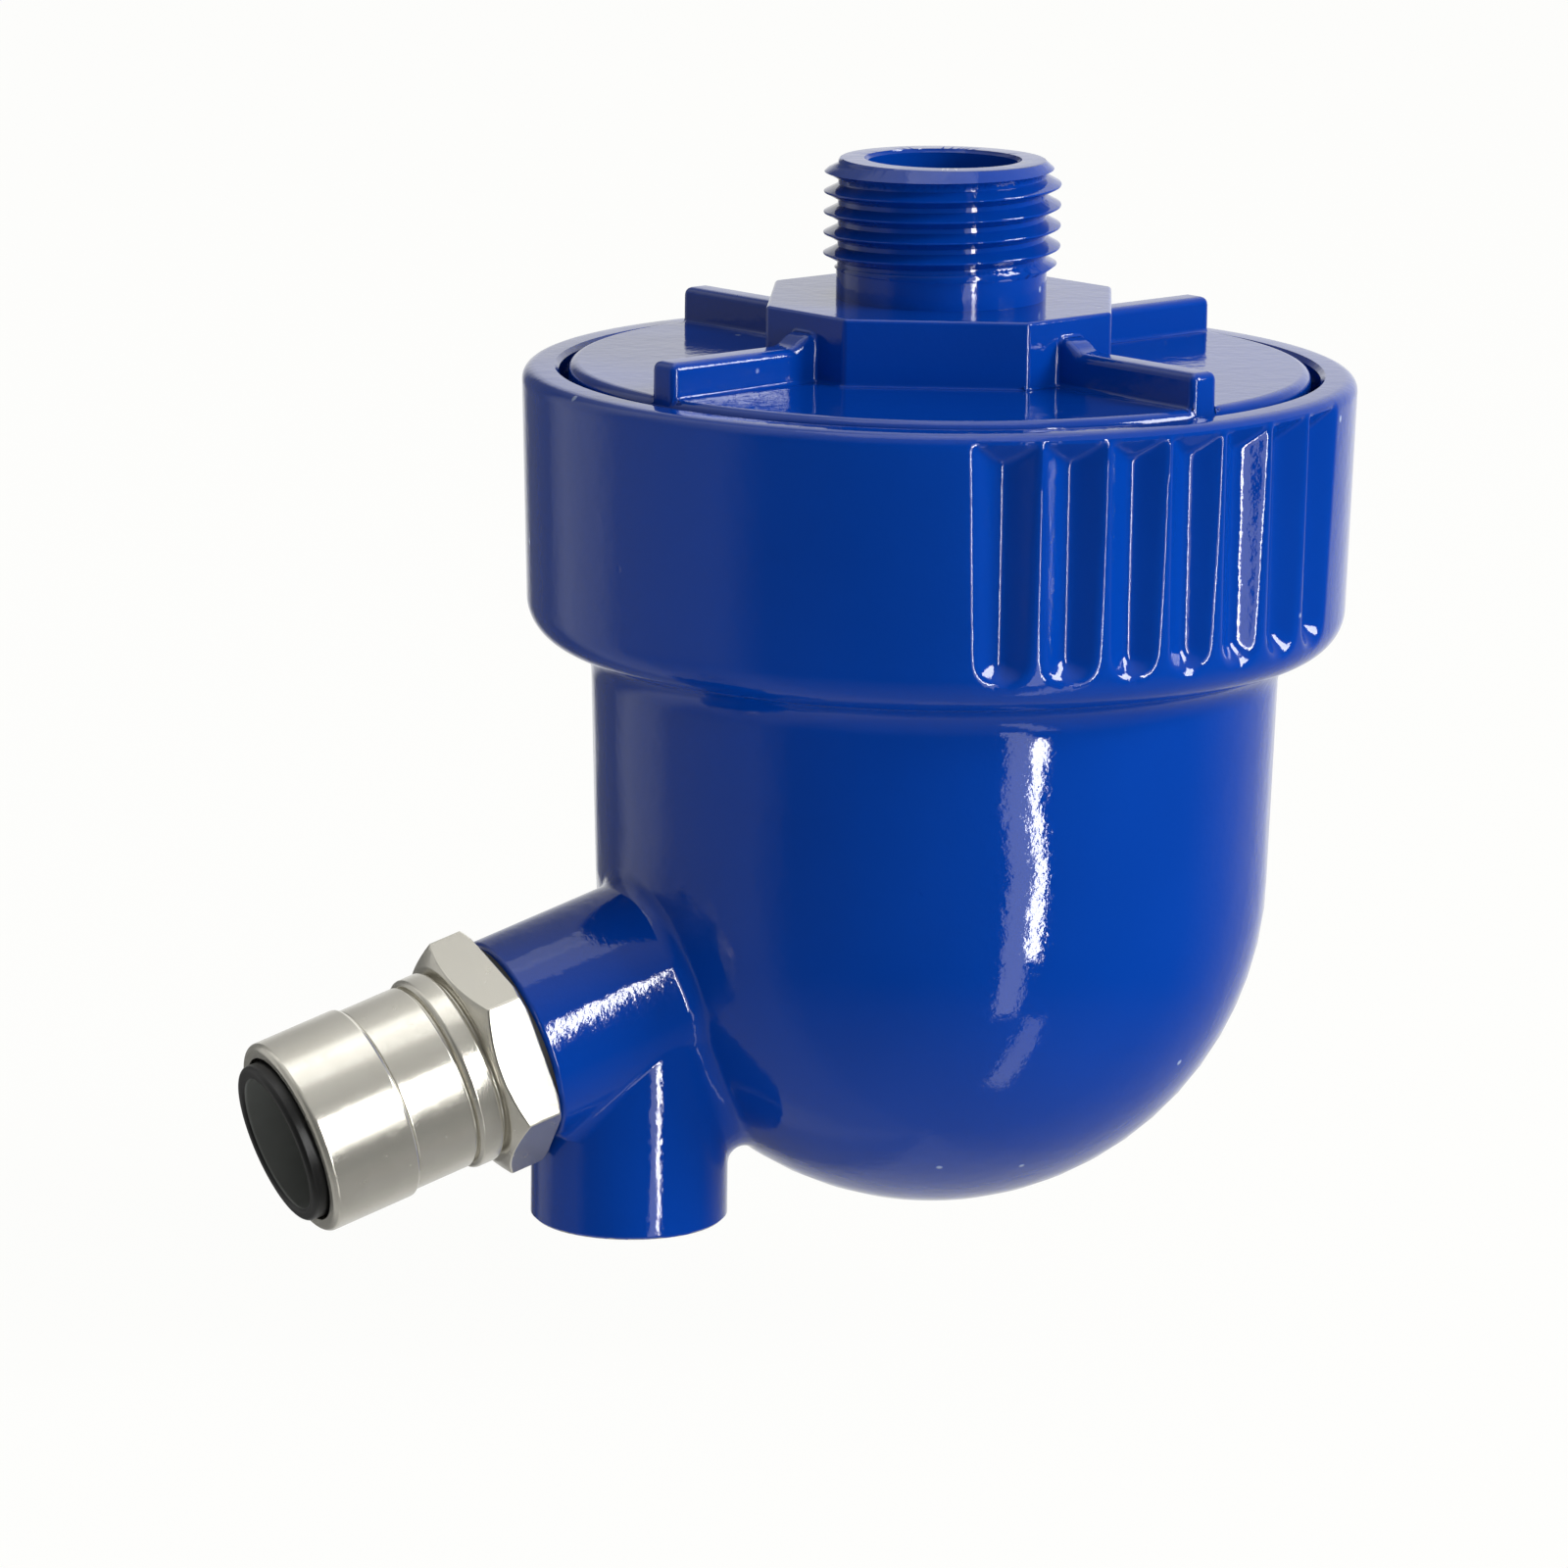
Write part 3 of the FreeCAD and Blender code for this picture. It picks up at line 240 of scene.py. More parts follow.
class DrainStudioSettings(bpy.types.PropertyGroup):
    """Camera, lamps and floor."""

    target: bpy.props.FloatVectorProperty(
        name="Target",
        description="Point that the camera looks at",
        default=(-11.944 * MM, 5.862 * MM, -47.627 * MM), subtype="TRANSLATION", size=3,
    )
    distance: bpy.props.FloatProperty(
        name="Distance",
        description="Distance from the camera to its target",
        default=615.6 * MM, unit="LENGTH",
    )
    azimuth: bpy.props.FloatProperty(
        name="Azimuth",
        description="Turn of the camera about the inlet's axis, from the front",
        default=math.radians(-26.143), subtype="ANGLE",
    )
    elevation: bpy.props.FloatProperty(
        name="Elevation",
        description="Height of the camera over its target, as an angle",
        default=math.radians(12.329), subtype="ANGLE",
    )
    roll: bpy.props.FloatProperty(
        name="Roll",
        description="Turn of the camera about its own axis",
        default=math.radians(0.730), subtype="ANGLE",
    )
    lens: bpy.props.FloatProperty(
        name="Lens",
        description="Focal length on a 36 mm wide sensor, in millimetres",
        default=157.51,
    )
    floor_gap: bpy.props.FloatProperty(
        name="Floor gap",
        description="Room under the hanging valve, so that the bowl can drop as it is unscrewed",
        default=12.0 * MM, unit="LENGTH",
    )
    floor_colour: bpy.props.FloatVectorProperty(
        name="Floor",
        description="Colour of the floor and the backdrop",
        default=(1.0, 1.0, 0.985), subtype="COLOR", size=3,
    )


# Shader maths written as Python expressions

class Value:
    """A shader socket that takes part in arithmetic. Each expression adds its Math nodes."""

    def __init__(self, finish, socket):
        self.finish = finish
        self.socket = socket

    def maths(self, operation, *values, **settings):
        return self.finish.node("ShaderNodeMath", dict(operation=operation, **settings), values)

    def __add__(self, other):
        return self.maths("ADD", self, other)

    __radd__ = __add__

    def __sub__(self, other):
        return self.maths("SUBTRACT", self, other)

    def __rsub__(self, other):
        return self.maths("SUBTRACT", other, self)

    def __mul__(self, other):
        return self.maths("MULTIPLY", self, other)

    __rmul__ = __mul__

    def __truediv__(self, other):
        return self.maths("DIVIDE", self, other)

    def __pow__(self, other):
        return self.maths("POWER", self, other)

    def __lt__(self, other):
        return self.maths("LESS_THAN", self, other)

    def __gt__(self, other):
        return self.maths("GREATER_THAN", self, other)

    def clamped(self):
        return self.maths("MULTIPLY", self, 1.0, use_clamp=True)

    def sine(self):
        return self.maths("SINE", self)


class Finish:
    """A node tree that is being built: a material's or the world's."""

    def __init__(self, owner):
        owner.use_nodes = True
        self.owner = owner
        self.nodes = owner.node_tree.nodes
        self.links = owner.node_tree.links
        self.nodes.clear()

    def node(self, kind, settings=None, values=(), output=0):
        """Adds a node. Its settings come first, then the numbers or links of its sockets."""
        made = self.nodes.new(kind)
        for name, setting in (settings or {}).items():
            if name == "stops":
                self.set_stops(made.color_ramp, setting)
            else:
                setattr(made, name, setting)
        pairs = values.items() if isinstance(values, dict) else enumerate(values)
        for name, value in pairs:
            if isinstance(value, Value):
                self.links.new(value.socket, made.inputs[name])
            elif value is not None:
                made.inputs[name].default_value = value
        return Value(self, made.outputs[output]) if len(made.outputs) else made

    def maths_of(self, operation, *values):
        """One Math node on links or numbers."""
        return self.node("ShaderNodeMath", {"operation": operation}, values)

    def set_stops(self, ramp, stops):
        while len(ramp.elements) < len(stops):
            ramp.elements.new(0.5)
        for element, (position, grey) in zip(ramp.elements, stops):
            element.position = position
            element.color = (grey, grey, grey, 1.0)

    def place(self, turn=(0.0, 0.0, 0.0), centre=(0.0, 0.0, 0.0)):
        """Object coordinates in millimetres, about a centre and turned."""
        coordinates = self.node("ShaderNodeTexCoord", output="Object")
        moved = self.node(
            "ShaderNodeVectorMath", {"operation": "SUBTRACT"}, (coordinates, tuple(centre))
        )
        return self.node(
            "ShaderNodeMapping", {"vector_type": "POINT"},
            {"Vector": moved, "Rotation": turn, "Scale": (1 / MM, 1 / MM, 1 / MM)},
        )

    def parts_of(self, vector):
        """The three numbers of a vector."""
        split = self.nodes.new("ShaderNodeSeparateXYZ")
        self.links.new(vector.socket, split.inputs[0])
        return [Value(self, socket) for socket in split.outputs]

    def noise(self, vector, width, detail=2.0, roughness=0.5):
        """Cloudy noise from 0 to 1, whose swells are so many millimetres wide."""
        return self.node(
            "ShaderNodeTexNoise", None,
            {"Vector": vector, "Scale": 1 / width, "Detail": detail, "Roughness": roughness},
        )

    def cells(self, vector, width, feature="F1", output="Distance"):
        """Distance to scattered points, in cells of so many millimetres."""
        return self.node(
            "ShaderNodeTexVoronoi", {"feature": feature},
            {"Vector": vector, "Scale": 1 / width}, output,
        )

    def ramp(self, value, *stops):
        """Grey from a number, by positions and levels."""
        return self.node("ShaderNodeValToRGB", {"stops": stops}, (value,))

    def mixed(self, share, first, second):
        """One colour turned into another by a share."""
        return self.node(
            "ShaderNodeMix", {"data_type": "RGBA"},
            {"Factor": share, 6: first, 7: second}, 2,
        )

    def raised(self, height, millimetres, normal=None):
        """A bump whose height runs from 0 to 1 over so many millimetres."""
        return self.node(
            "ShaderNodeBump", None,
            {"Height": height, "Distance": millimetres * MM, "Strength": 1.0, "Normal": normal},
        )

    def surface(self, values):
        """The principled shader, as the material's surface."""
        shader = self.node("ShaderNodeBsdfPrincipled", None, values)
        self.node("ShaderNodeOutputMaterial", None, {"Surface": shader})
        return self.owner


def opaque(colour):
    """A colour setting with full alpha."""
    return (colour[0], colour[1], colour[2], 1.0)


# Finishes

def blue_enamel(casting):
    """Glossy blue paint over a sand-rough casting, with nibs, pits and a bare edge at the port; the nibs'
    centres carry painted glints.
    """
    finish = Finish(bpy.data.materials.new("blue_enamel"))
    place = finish.place()
    x, y, z = finish.parts_of(place)
    swell = finish.noise(place, casting.peel / MM, 1.0, 0.4)
    sand = finish.noise(place, 1.1, 3.0, 0.6)
    nib_distance = finish.cells(place, 7.0)
    nib_seed = finish.parts_of(finish.cells(place, 7.0, output="Color"))[0]
    nib = finish.ramp(nib_distance, (0.0, 1.0), (0.03, 0.8), (0.05, 0.0)) * (nib_seed > 0.55)
    pit_distance = finish.cells(place, 11.0)
    pit = finish.ramp(pit_distance, (0.0, 1.0), (0.02, 0.7), (0.035, 0.0))
    height = swell * 0.62 + sand * 0.62 + nib * 0.9 - pit * 0.8
    bump = finish.raised(height, 0.04)
    port_x = x - PORT_PLACE.x / MM
    from_port = (port_x * port_x + y * y) ** 0.5
    edge_noise = finish.noise(place, 1.4, 2.0, 0.6)
    bare_below = PORT_PLACE.z / MM + 0.03 + (edge_noise - 0.5) * 0.7
    bare = (z < bare_below) * (from_port < 9.0)
    cloud = finish.noise(place, 24.0, 2.0, 0.5)
    deep = tuple(channel * 0.86 for channel in casting.paint) + (1.0,)
    bright = (casting.paint[0] * 1.4, casting.paint[1] * 1.12, casting.paint[2] * 1.1, 1.0)
    paint = finish.mixed(cloud, deep, bright)
    # The nibs' centres are painted pale: painted glints standing in for the highlights on the nibs.
    paint = finish.mixed(nib * 0.7, paint, (0.45, 0.56, 0.78, 1.0))
    colour = finish.mixed(bare, paint, (0.62, 0.62, 0.60, 1.0))
    return finish.surface({
        "Base Color": colour,
        "Metallic": bare * 0.85,
        "Roughness": bare * 0.3 + cloud * 0.03 + 0.055,
        "IOR": 1.5,
        "Normal": bump,
    })


def nickel_plate(fitting):
    """Satin nickel with fine turning marks round the outlet's axis and a slight cloud."""
    finish = Finish(bpy.data.materials.new("nickel_plate"))
    place = finish.place((0.0, math.pi / 2 + OUTLET_FALL, 0.0), OUTLET_START)
    x, y, along = finish.parts_of(place)
    around = finish.node("ShaderNodeCombineXYZ", None, (0.0, 0.0, along))
    marks = finish.noise(around, 0.11, 3.0, 0.7)
    cloud = finish.noise(place, 3.4, 3.0, 0.6)
    speck = finish.noise(place, 0.45, 2.0, 0.6)
    scuff = finish.ramp(finish.noise(place, 1.3, 4.0, 0.75), (0.55, 0.0), (0.72, 1.0))
    plate = opaque(fitting.plate)
    dull = (fitting.plate[0] * 0.80, fitting.plate[1] * 0.79, fitting.plate[2] * 0.75, 1.0)
    colour = finish.mixed(cloud * 0.7 + scuff * 0.2, plate, dull)
    return finish.surface({
        "Base Color": colour,
        "Metallic": 0.78,
        "Roughness": cloud * 0.10 + speck * 0.08 + 0.13 + scuff * 0.06,
        "Normal": finish.raised(marks * 0.5 + speck * 0.5, 0.003),
    })


def black_acetal(fitting):
    """Moulded black plastic with a faint grain; the bore's inner wall is painted lighter grey as painted
    light, where the wall catches light.
    """
    finish = Finish(bpy.data.materials.new("black_acetal"))
    place = finish.place((0.0, math.pi / 2 + OUTLET_FALL, 0.0), OUTLET_START)
    x, y, along = finish.parts_of(place)
    # Inside this radius the bore's wall is painted lighter grey: painted light standing in for light caught
    # on the inner wall.
    inside = (x * x + y * y) ** 0.5 < 6.12
    grain = finish.noise(place, 0.25, 2.0, 0.6)
    cloud = finish.noise(place, 4.0, 2.0, 0.5)
    face = finish.mixed(cloud, (0.006, 0.006, 0.006, 1.0), (0.012, 0.012, 0.012, 1.0))
    painted_light_inside = finish.mixed(cloud, opaque(fitting.collet), (0.19, 0.20, 0.19, 1.0))
    return finish.surface({
        "Base Color": finish.mixed(inside, face, painted_light_inside),
        "Roughness": grain * 0.12 + 0.34,
        "Normal": finish.raised(grain, 0.008),
    })


def seal_rubber():
    """Black nitrile rubber, matt, with a fine grain."""
    finish = Finish(bpy.data.materials.new("seal_rubber"))
    place = finish.place()
    grain = finish.noise(place, 0.3, 3.0, 0.6)
    return finish.surface({
        "Base Color": finish.mixed(grain, (0.008, 0.008, 0.008, 1.0), (0.02, 0.02, 0.021, 1.0)),
        "Roughness": grain * 0.15 + 0.6,
        "Normal": finish.raised(grain, 0.02),
    })


def bare_metal(name, bright, dull, roughness, grain_width):
    """Worked bare metal: a cloud of two tones and a fine directional grain."""
    finish = Finish(bpy.data.materials.new(name))
    place = finish.place()
    x, y, z = finish.parts_of(place)
    brushed = finish.node("ShaderNodeCombineXYZ", None, (x * 0.06, y, z))
    grain = finish.noise(brushed, grain_width, 3.0, 0.6)
    cloud = finish.noise(place, 5.0, 2.0, 0.5)
    return finish.surface({
        "Base Color": finish.mixed(cloud, opaque(bright), opaque(dull)),
        "Metallic": 1.0,
        "Roughness": grain * 0.14 + roughness,
        "Normal": finish.raised(grain, 0.01),
    })


def finishes():
    """Every finish by its slot in the record, each made once."""
    if not FINISHES:
        scene = bpy.context.scene
        FINISHES.update({
            "blue_enamel": blue_enamel(scene.drain_casting),
            "nickel_plate": nickel_plate(scene.drain_fitting),
            "black_acetal": black_acetal(scene.drain_fitting),
            "seal_rubber": seal_rubber(),
            "stainless": bare_metal("stainless", (0.60, 0.60, 0.58), (0.48, 0.48, 0.47), 0.26, 0.16),
            "plain_brass": bare_metal("plain_brass", (0.72, 0.50, 0.20), (0.58, 0.38, 0.14), 0.24, 0.12),
        })
    return FINISHES


FINISHES = {}


# Modelling helpers

def select_only(obj):
    """Makes one object the only selected and the active one."""
    bpy.ops.object.select_all(action="DESELECT")
    obj.select_set(True)
    bpy.context.view_layer.objects.active = obj
    return obj


def merged_copy(node, name, flat=0.6):
    """A copy of a solid's mesh as a closed shell, its faces joined up to an angle in degrees."""
    piece = bpy.data.objects.new(name, frame["nodes"][node].data.copy())
    bpy.context.scene.collection.objects.link(piece)
    piece.data.materials.clear()
    select_only(piece)
    bpy.ops.object.mode_set(mode="EDIT")
    bpy.ops.mesh.select_all(action="SELECT")
    bpy.ops.mesh.remove_doubles(threshold=0.001 * MM)
    if flat:
        bpy.ops.mesh.dissolve_limited(angle_limit=math.radians(flat))
    bpy.ops.object.mode_set(mode="OBJECT")
    return piece


def apply(piece, kind, **settings):
    """Adds a modifier with its settings and applies it."""
    select_only(piece)
    modifier = piece.modifiers.new(kind.title(), kind)
    for name, setting in settings.items():
        setattr(modifier, name, setting)
    bpy.ops.object.modifier_apply(modifier=modifier.name)


def soften(piece, width, sharp_from, segments=2):
    """Rounds the sharp edges. Corners that the rounding throws outwards go back to the surface."""
    shape = bmesh.new()
    shape.from_mesh(piece.data)
    skin = BVHTree.FromBMesh(shape)
    shape.free()
    apply(
        piece, "BEVEL", width=width, segments=segments, limit_method="ANGLE",
        angle_limit=sharp_from, use_clamp_overlap=False,
    )
    for vertex in piece.data.vertices:
        nearest, normal, index, distance = skin.find_nearest(vertex.co)
        if distance > 0.6 * width:
            vertex.co = nearest
    select_only(piece)
    bpy.ops.object.mode_set(mode="EDIT")
    bpy.ops.mesh.select_all(action="SELECT")
    bpy.ops.mesh.remove_doubles(threshold=0.004 * MM)
    bpy.ops.mesh.dissolve_degenerate(threshold=0.001 * MM)
    bpy.ops.object.mode_set(mode="OBJECT")


def smooth(piece, sharp_from):
    """Smooth shading, with the flat faces kept flat."""
    select_only(piece)
    bpy.ops.object.shade_smooth_by_angle(angle=sharp_from)
    apply(piece, "WEIGHTED_NORMAL", keep_sharp=True, weight=60)


def keep_normals(piece, node, chosen):
    """Takes the exact normals of the solid that a piece was copied from, at the chosen points."""
    group = piece.vertex_groups.new(name="exact")
    group.add([vertex.index for vertex in piece.data.vertices if chosen(vertex.co)], 1.0, "ADD")
    apply(
        piece, "DATA_TRANSFER", object=frame["nodes"][node], use_loop_data=True,
        data_types_loops={"CUSTOM_NORMAL"}, loop_mapping="NEAREST_POLYNOR",
        vertex_group="exact",
    )
    piece.vertex_groups.clear()


def outline(name, points):
    """An open line through points, drawn by extruding one corner."""
    bpy.ops.object.select_all(action="DESELECT")
    bpy.ops.mesh.primitive_plane_add(size=MM)
    line = bpy.context.object
    line.name = name
    bpy.ops.object.mode_set(mode="EDIT")
    bpy.ops.mesh.merge(type="CENTER")
    here = Vector(points[0])
    bpy.ops.transform.translate(value=here)
    for point in points[1:]:
        step = Vector(point) - here
        bpy.ops.mesh.extrude_vertices_move(TRANSFORM_OT_translate={"value": step})
        here = Vector(point)
    bpy.ops.object.mode_set(mode="OBJECT")
    return line


def arc(centre, radius, start, end, steps):
    """Points on an arc in radius and height, by angles in degrees."""
    points = []
    for step in range(steps + 1):
        angle = math.radians(start + (end - start) * step / steps)
        points.append((centre[0] + radius * math.cos(angle), centre[1] + radius * math.sin(angle)))
    return points


def turned(name, profile, steps):
    """A closed body turned about Z from a profile in radius and height, in order."""
    closed = list(profile)
    if profile[0][0] or profile[-1][0]:
        closed.append(profile[0])
    body = outline(name, [(radius, 0.0, height) for radius, height in closed])
    select_only(body)
    bpy.ops.object.mode_set(mode="EDIT")
    bpy.ops.mesh.select_all(action="SELECT")
    bpy.ops.mesh.remove_doubles(threshold=0.001 * MM)
    bpy.ops.mesh.spin(steps=steps, angle=math.tau, center=(0, 0, 0), axis=(0, 0, 1))
    bpy.ops.mesh.select_all(action="SELECT")
    bpy.ops.mesh.remove_doubles(threshold=0.001 * MM)
    bpy.ops.mesh.normals_make_consistent(inside=False)
    bpy.ops.object.mode_set(mode="OBJECT")
    return body


def extruded(name, corners, step):
    """A prism from a closed flat outline of corners, pushed out by a step."""
    body = outline(name, list(corners) + [corners[0]])
    select_only(body)
    bpy.ops.object.mode_set(mode="EDIT")
    bpy.ops.mesh.select_all(action="SELECT")
    bpy.ops.mesh.remove_doubles(threshold=0.001 * MM)
    bpy.ops.mesh.select_all(action="SELECT")
    bpy.ops.mesh.edge_face_add()
    bpy.ops.mesh.extrude_region_move(TRANSFORM_OT_translate={"value": step})
    bpy.ops.mesh.select_all(action="SELECT")
    bpy.ops.mesh.normals_make_consistent(inside=False)
    bpy.ops.object.mode_set(mode="OBJECT")
    return body


def turn_about_inlet(piece, angle):
    """Turns a piece's mesh about the inlet's axis."""
    piece.data.transform(Matrix.Rotation(angle, 4, "Z"))


def combine(piece, other, operation):
    """Joins, cuts or keeps what two closed bodies share, and removes the second."""
    apply(piece, "BOOLEAN", object=other, operation=operation, solver="EXACT")
    bpy.data.objects.remove(other)


def dress(piece, slot, body, *nodes):
    """Gives a new piece its finish, its body and the nodes that it stands for."""
    piece.data.materials.clear()
    piece.data.materials.append(finishes()[slot])
    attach(piece, body)
    if nodes:
        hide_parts(*nodes)


def dress_node(node, slot):
    """Gives a solid that stays its finish."""
    mesh = frame["nodes"][node].data
    mesh.materials.clear()
    mesh.materials.append(finishes()[slot])


# Pieces

class DRAIN_OT_cover(bpy.types.Operator):
    """Build the screw cover with its wings, wrench block and threaded inlet"""

    bl_idname = "drain.cover"
    bl_label = "Winged cover"

    def execute(self, context):
        casting = context.scene.drain_casting
        form = context.scene.drain_cover
        thread = context.scene.drain_thread
        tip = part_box("cover")[1].z
        cover = self.plate(form)
        top_works = self.block(form, casting)
        for quarter in range(4):
            wing = self.wing(form)
            turn_about_inlet(wing, form.turn + math.radians(45 + 90 * quarter))
            combine(top_works, wing, "UNION")
        combine(cover, top_works, "UNION")
        soften(cover, casting.root_round, math.radians(40))
        combine(cover, self.spigot(thread, form, tip), "UNION")
        combine(cover, self.bore(thread, tip), "DIFFERENCE")
        skirt = merged_copy("cover", "skirt")
        combine(skirt, self.above(form, tip), "DIFFERENCE")
        select_only(cover)
        skirt.select_set(True)
        bpy.ops.object.join()
        cover.name = "winged_cover"
        smooth(cover, math.radians(32))
        dress(cover, "blue_enamel", "head", "cover")
        return {"FINISHED"}

    def plate(self, form):
        """The round plate, down to the skirt's step, with its rounded rim."""
        rim = (form.plate_radius - form.plate_round, form.plate_top - form.plate_round)
        low = form.plate_top - form.lip
        return turned("plate", [(0.0, low), (form.plate_radius, low)]
                      + arc(rim, form.plate_round, 0, 90, 6) + [(0.0, form.plate_top)], 192)

    def block(self, form, casting):
        """The square block with cut corners and softened edges."""
        half = form.block_across / 2
        front = form.block_front / 2
        low = form.plate_top - form.lip / 2
        corners = [
            (front, -half), (half, -front), (half, front), (front, half),
            (-front, half), (-half, front), (-half, -front), (-front, -half),
        ]
        block = extruded(
            "block", [(x, y, low) for x, y in corners], (0, 0, form.block_top - low)
        )
        apply(block, "BEVEL", width=casting.edge_round, segments=3, limit_method="ANGLE")
        turn_about_inlet(block, form.turn)
        return block

    def wing(self, form):
        """One wing along X with rounded edges, whose root climbs up the block."""
        root = (form.block_across + form.block_front) / (2 * math.sqrt(2))
        end = form.plate_radius - 0.05 * MM
        low = form.plate_top - form.lip / 2
        half = form.wing_width / 2
        top = form.wing_top
        wing = extruded(
            "wing",
            [
                (root - 4 * MM, -half, low), (end, -half, low), (end, -half, top),
                (root + 2.4 * MM, -half, top), (root + 0.9 * MM, -half, top + form.wing_knob),
                (root - 4 * MM, -half, top + form.wing_knob),
            ],
            (0, form.wing_width, 0),
        )
        apply(
            wing, "BEVEL", width=form.wing_round, segments=4, limit_method="ANGLE",
            angle_limit=math.radians(25),
        )
        return wing

    def spigot(self, thread, form, tip):
        """The neck and the threaded spigot over it."""
        neck = 9.3 * MM
        core = thread.root_radius
        spigot = turned("spigot", [
            (0.0, form.block_top - 2 * MM), (neck, form.block_top - 2 * MM),
            (neck, -0.9 * MM), (core, -0.75 * MM), (core, tip - 0.25 * MM),
            (core - 0.25 * MM, tip), (0.0, tip),
        ], 128)
        combine(spigot, self.ridge(thread, tip), "UNION")
        return spigot

    def bore(self, thread, tip):
        """The inlet's bore, from the tip down through the plate."""
        radius = 6.65 * MM
        edge = 0.3 * MM
        return turned("bore", [
            (0.0, -14 * MM), (radius, -14 * MM), (radius, tip - edge),
            (radius + edge, tip), (radius + edge, tip + MM), (0.0, tip + MM),
        ], 96)

    def above(self, form, tip):
        """Everything over the skirt's step."""
        reach = 40 * MM
        low = form.plate_top - form.lip
        return turned("above", [(0.0, low), (reach, low), (reach, tip + MM), (0.0, tip + MM)], 48)

    def ridge(self, thread, tip):
        """The thread's ridge, cut to the chamfer at the tip and to the run-out at the neck."""
        pitch = thread.pitch
        crest = thread.crest_radius
        foot = thread.root_radius - 0.15 * MM
        slope = math.tan(thread.flank)
        height = thread.crest_height - 4 * pitch
        section = []
        for radius, half in (
            (foot, (crest - foot) * slope + 0.05 * MM),
            (crest - 0.14 * MM, 0.14 * MM),
            (crest - 0.03 * MM, 0.075 * MM),
        ):
            section.append((radius, 0, height - half))
        section.append((crest, 0, height))
        section += [(x, y, 2 * height - z) for x, y, z in reversed(section[:-1])]
        ridge = outline("ridge", section)
        select_only(ridge)
        bpy.ops.object.mode_set(mode="EDIT")
        bpy.ops.mesh.select_all(action="SELECT")
        bpy.ops.mesh.edge_face_add()
        bpy.ops.object.mode_set(mode="OBJECT")
        apply(
            ridge, "SCREW", axis="Z", angle=math.tau, screw_offset=pitch, iterations=7,
            steps=96, render_steps=96, use_normal_calculate=True, use_merge_vertices=False,
        )
        bpy.ops.object.mode_set(mode="EDIT")
        bpy.ops.mesh.select_all(action="SELECT")
        bpy.ops.mesh.remove_doubles(threshold=0.001 * MM)
        bpy.ops.mesh.select_all(action="DESELECT")
        bpy.ops.mesh.select_non_manifold(extend=False)
        bpy.ops.mesh.edge_face_add()
        bpy.ops.mesh.select_all(action="SELECT")
        bpy.ops.mesh.normals_make_consistent(inside=False)
        bpy.ops.object.mode_set(mode="OBJECT")
        envelope = turned(
            "thread_envelope",
            [
                (0.0, -0.95 * MM), (thread.root_radius, -0.95 * MM), (crest + 0.001 * MM, 0.0),
                (crest + 0.001 * MM, tip - 1.3 * MM), (9.0 * MM, tip), (0.0, tip),
            ],
            128,
        )
        combine(ridge, envelope, "INTERSECT")
        return ridge


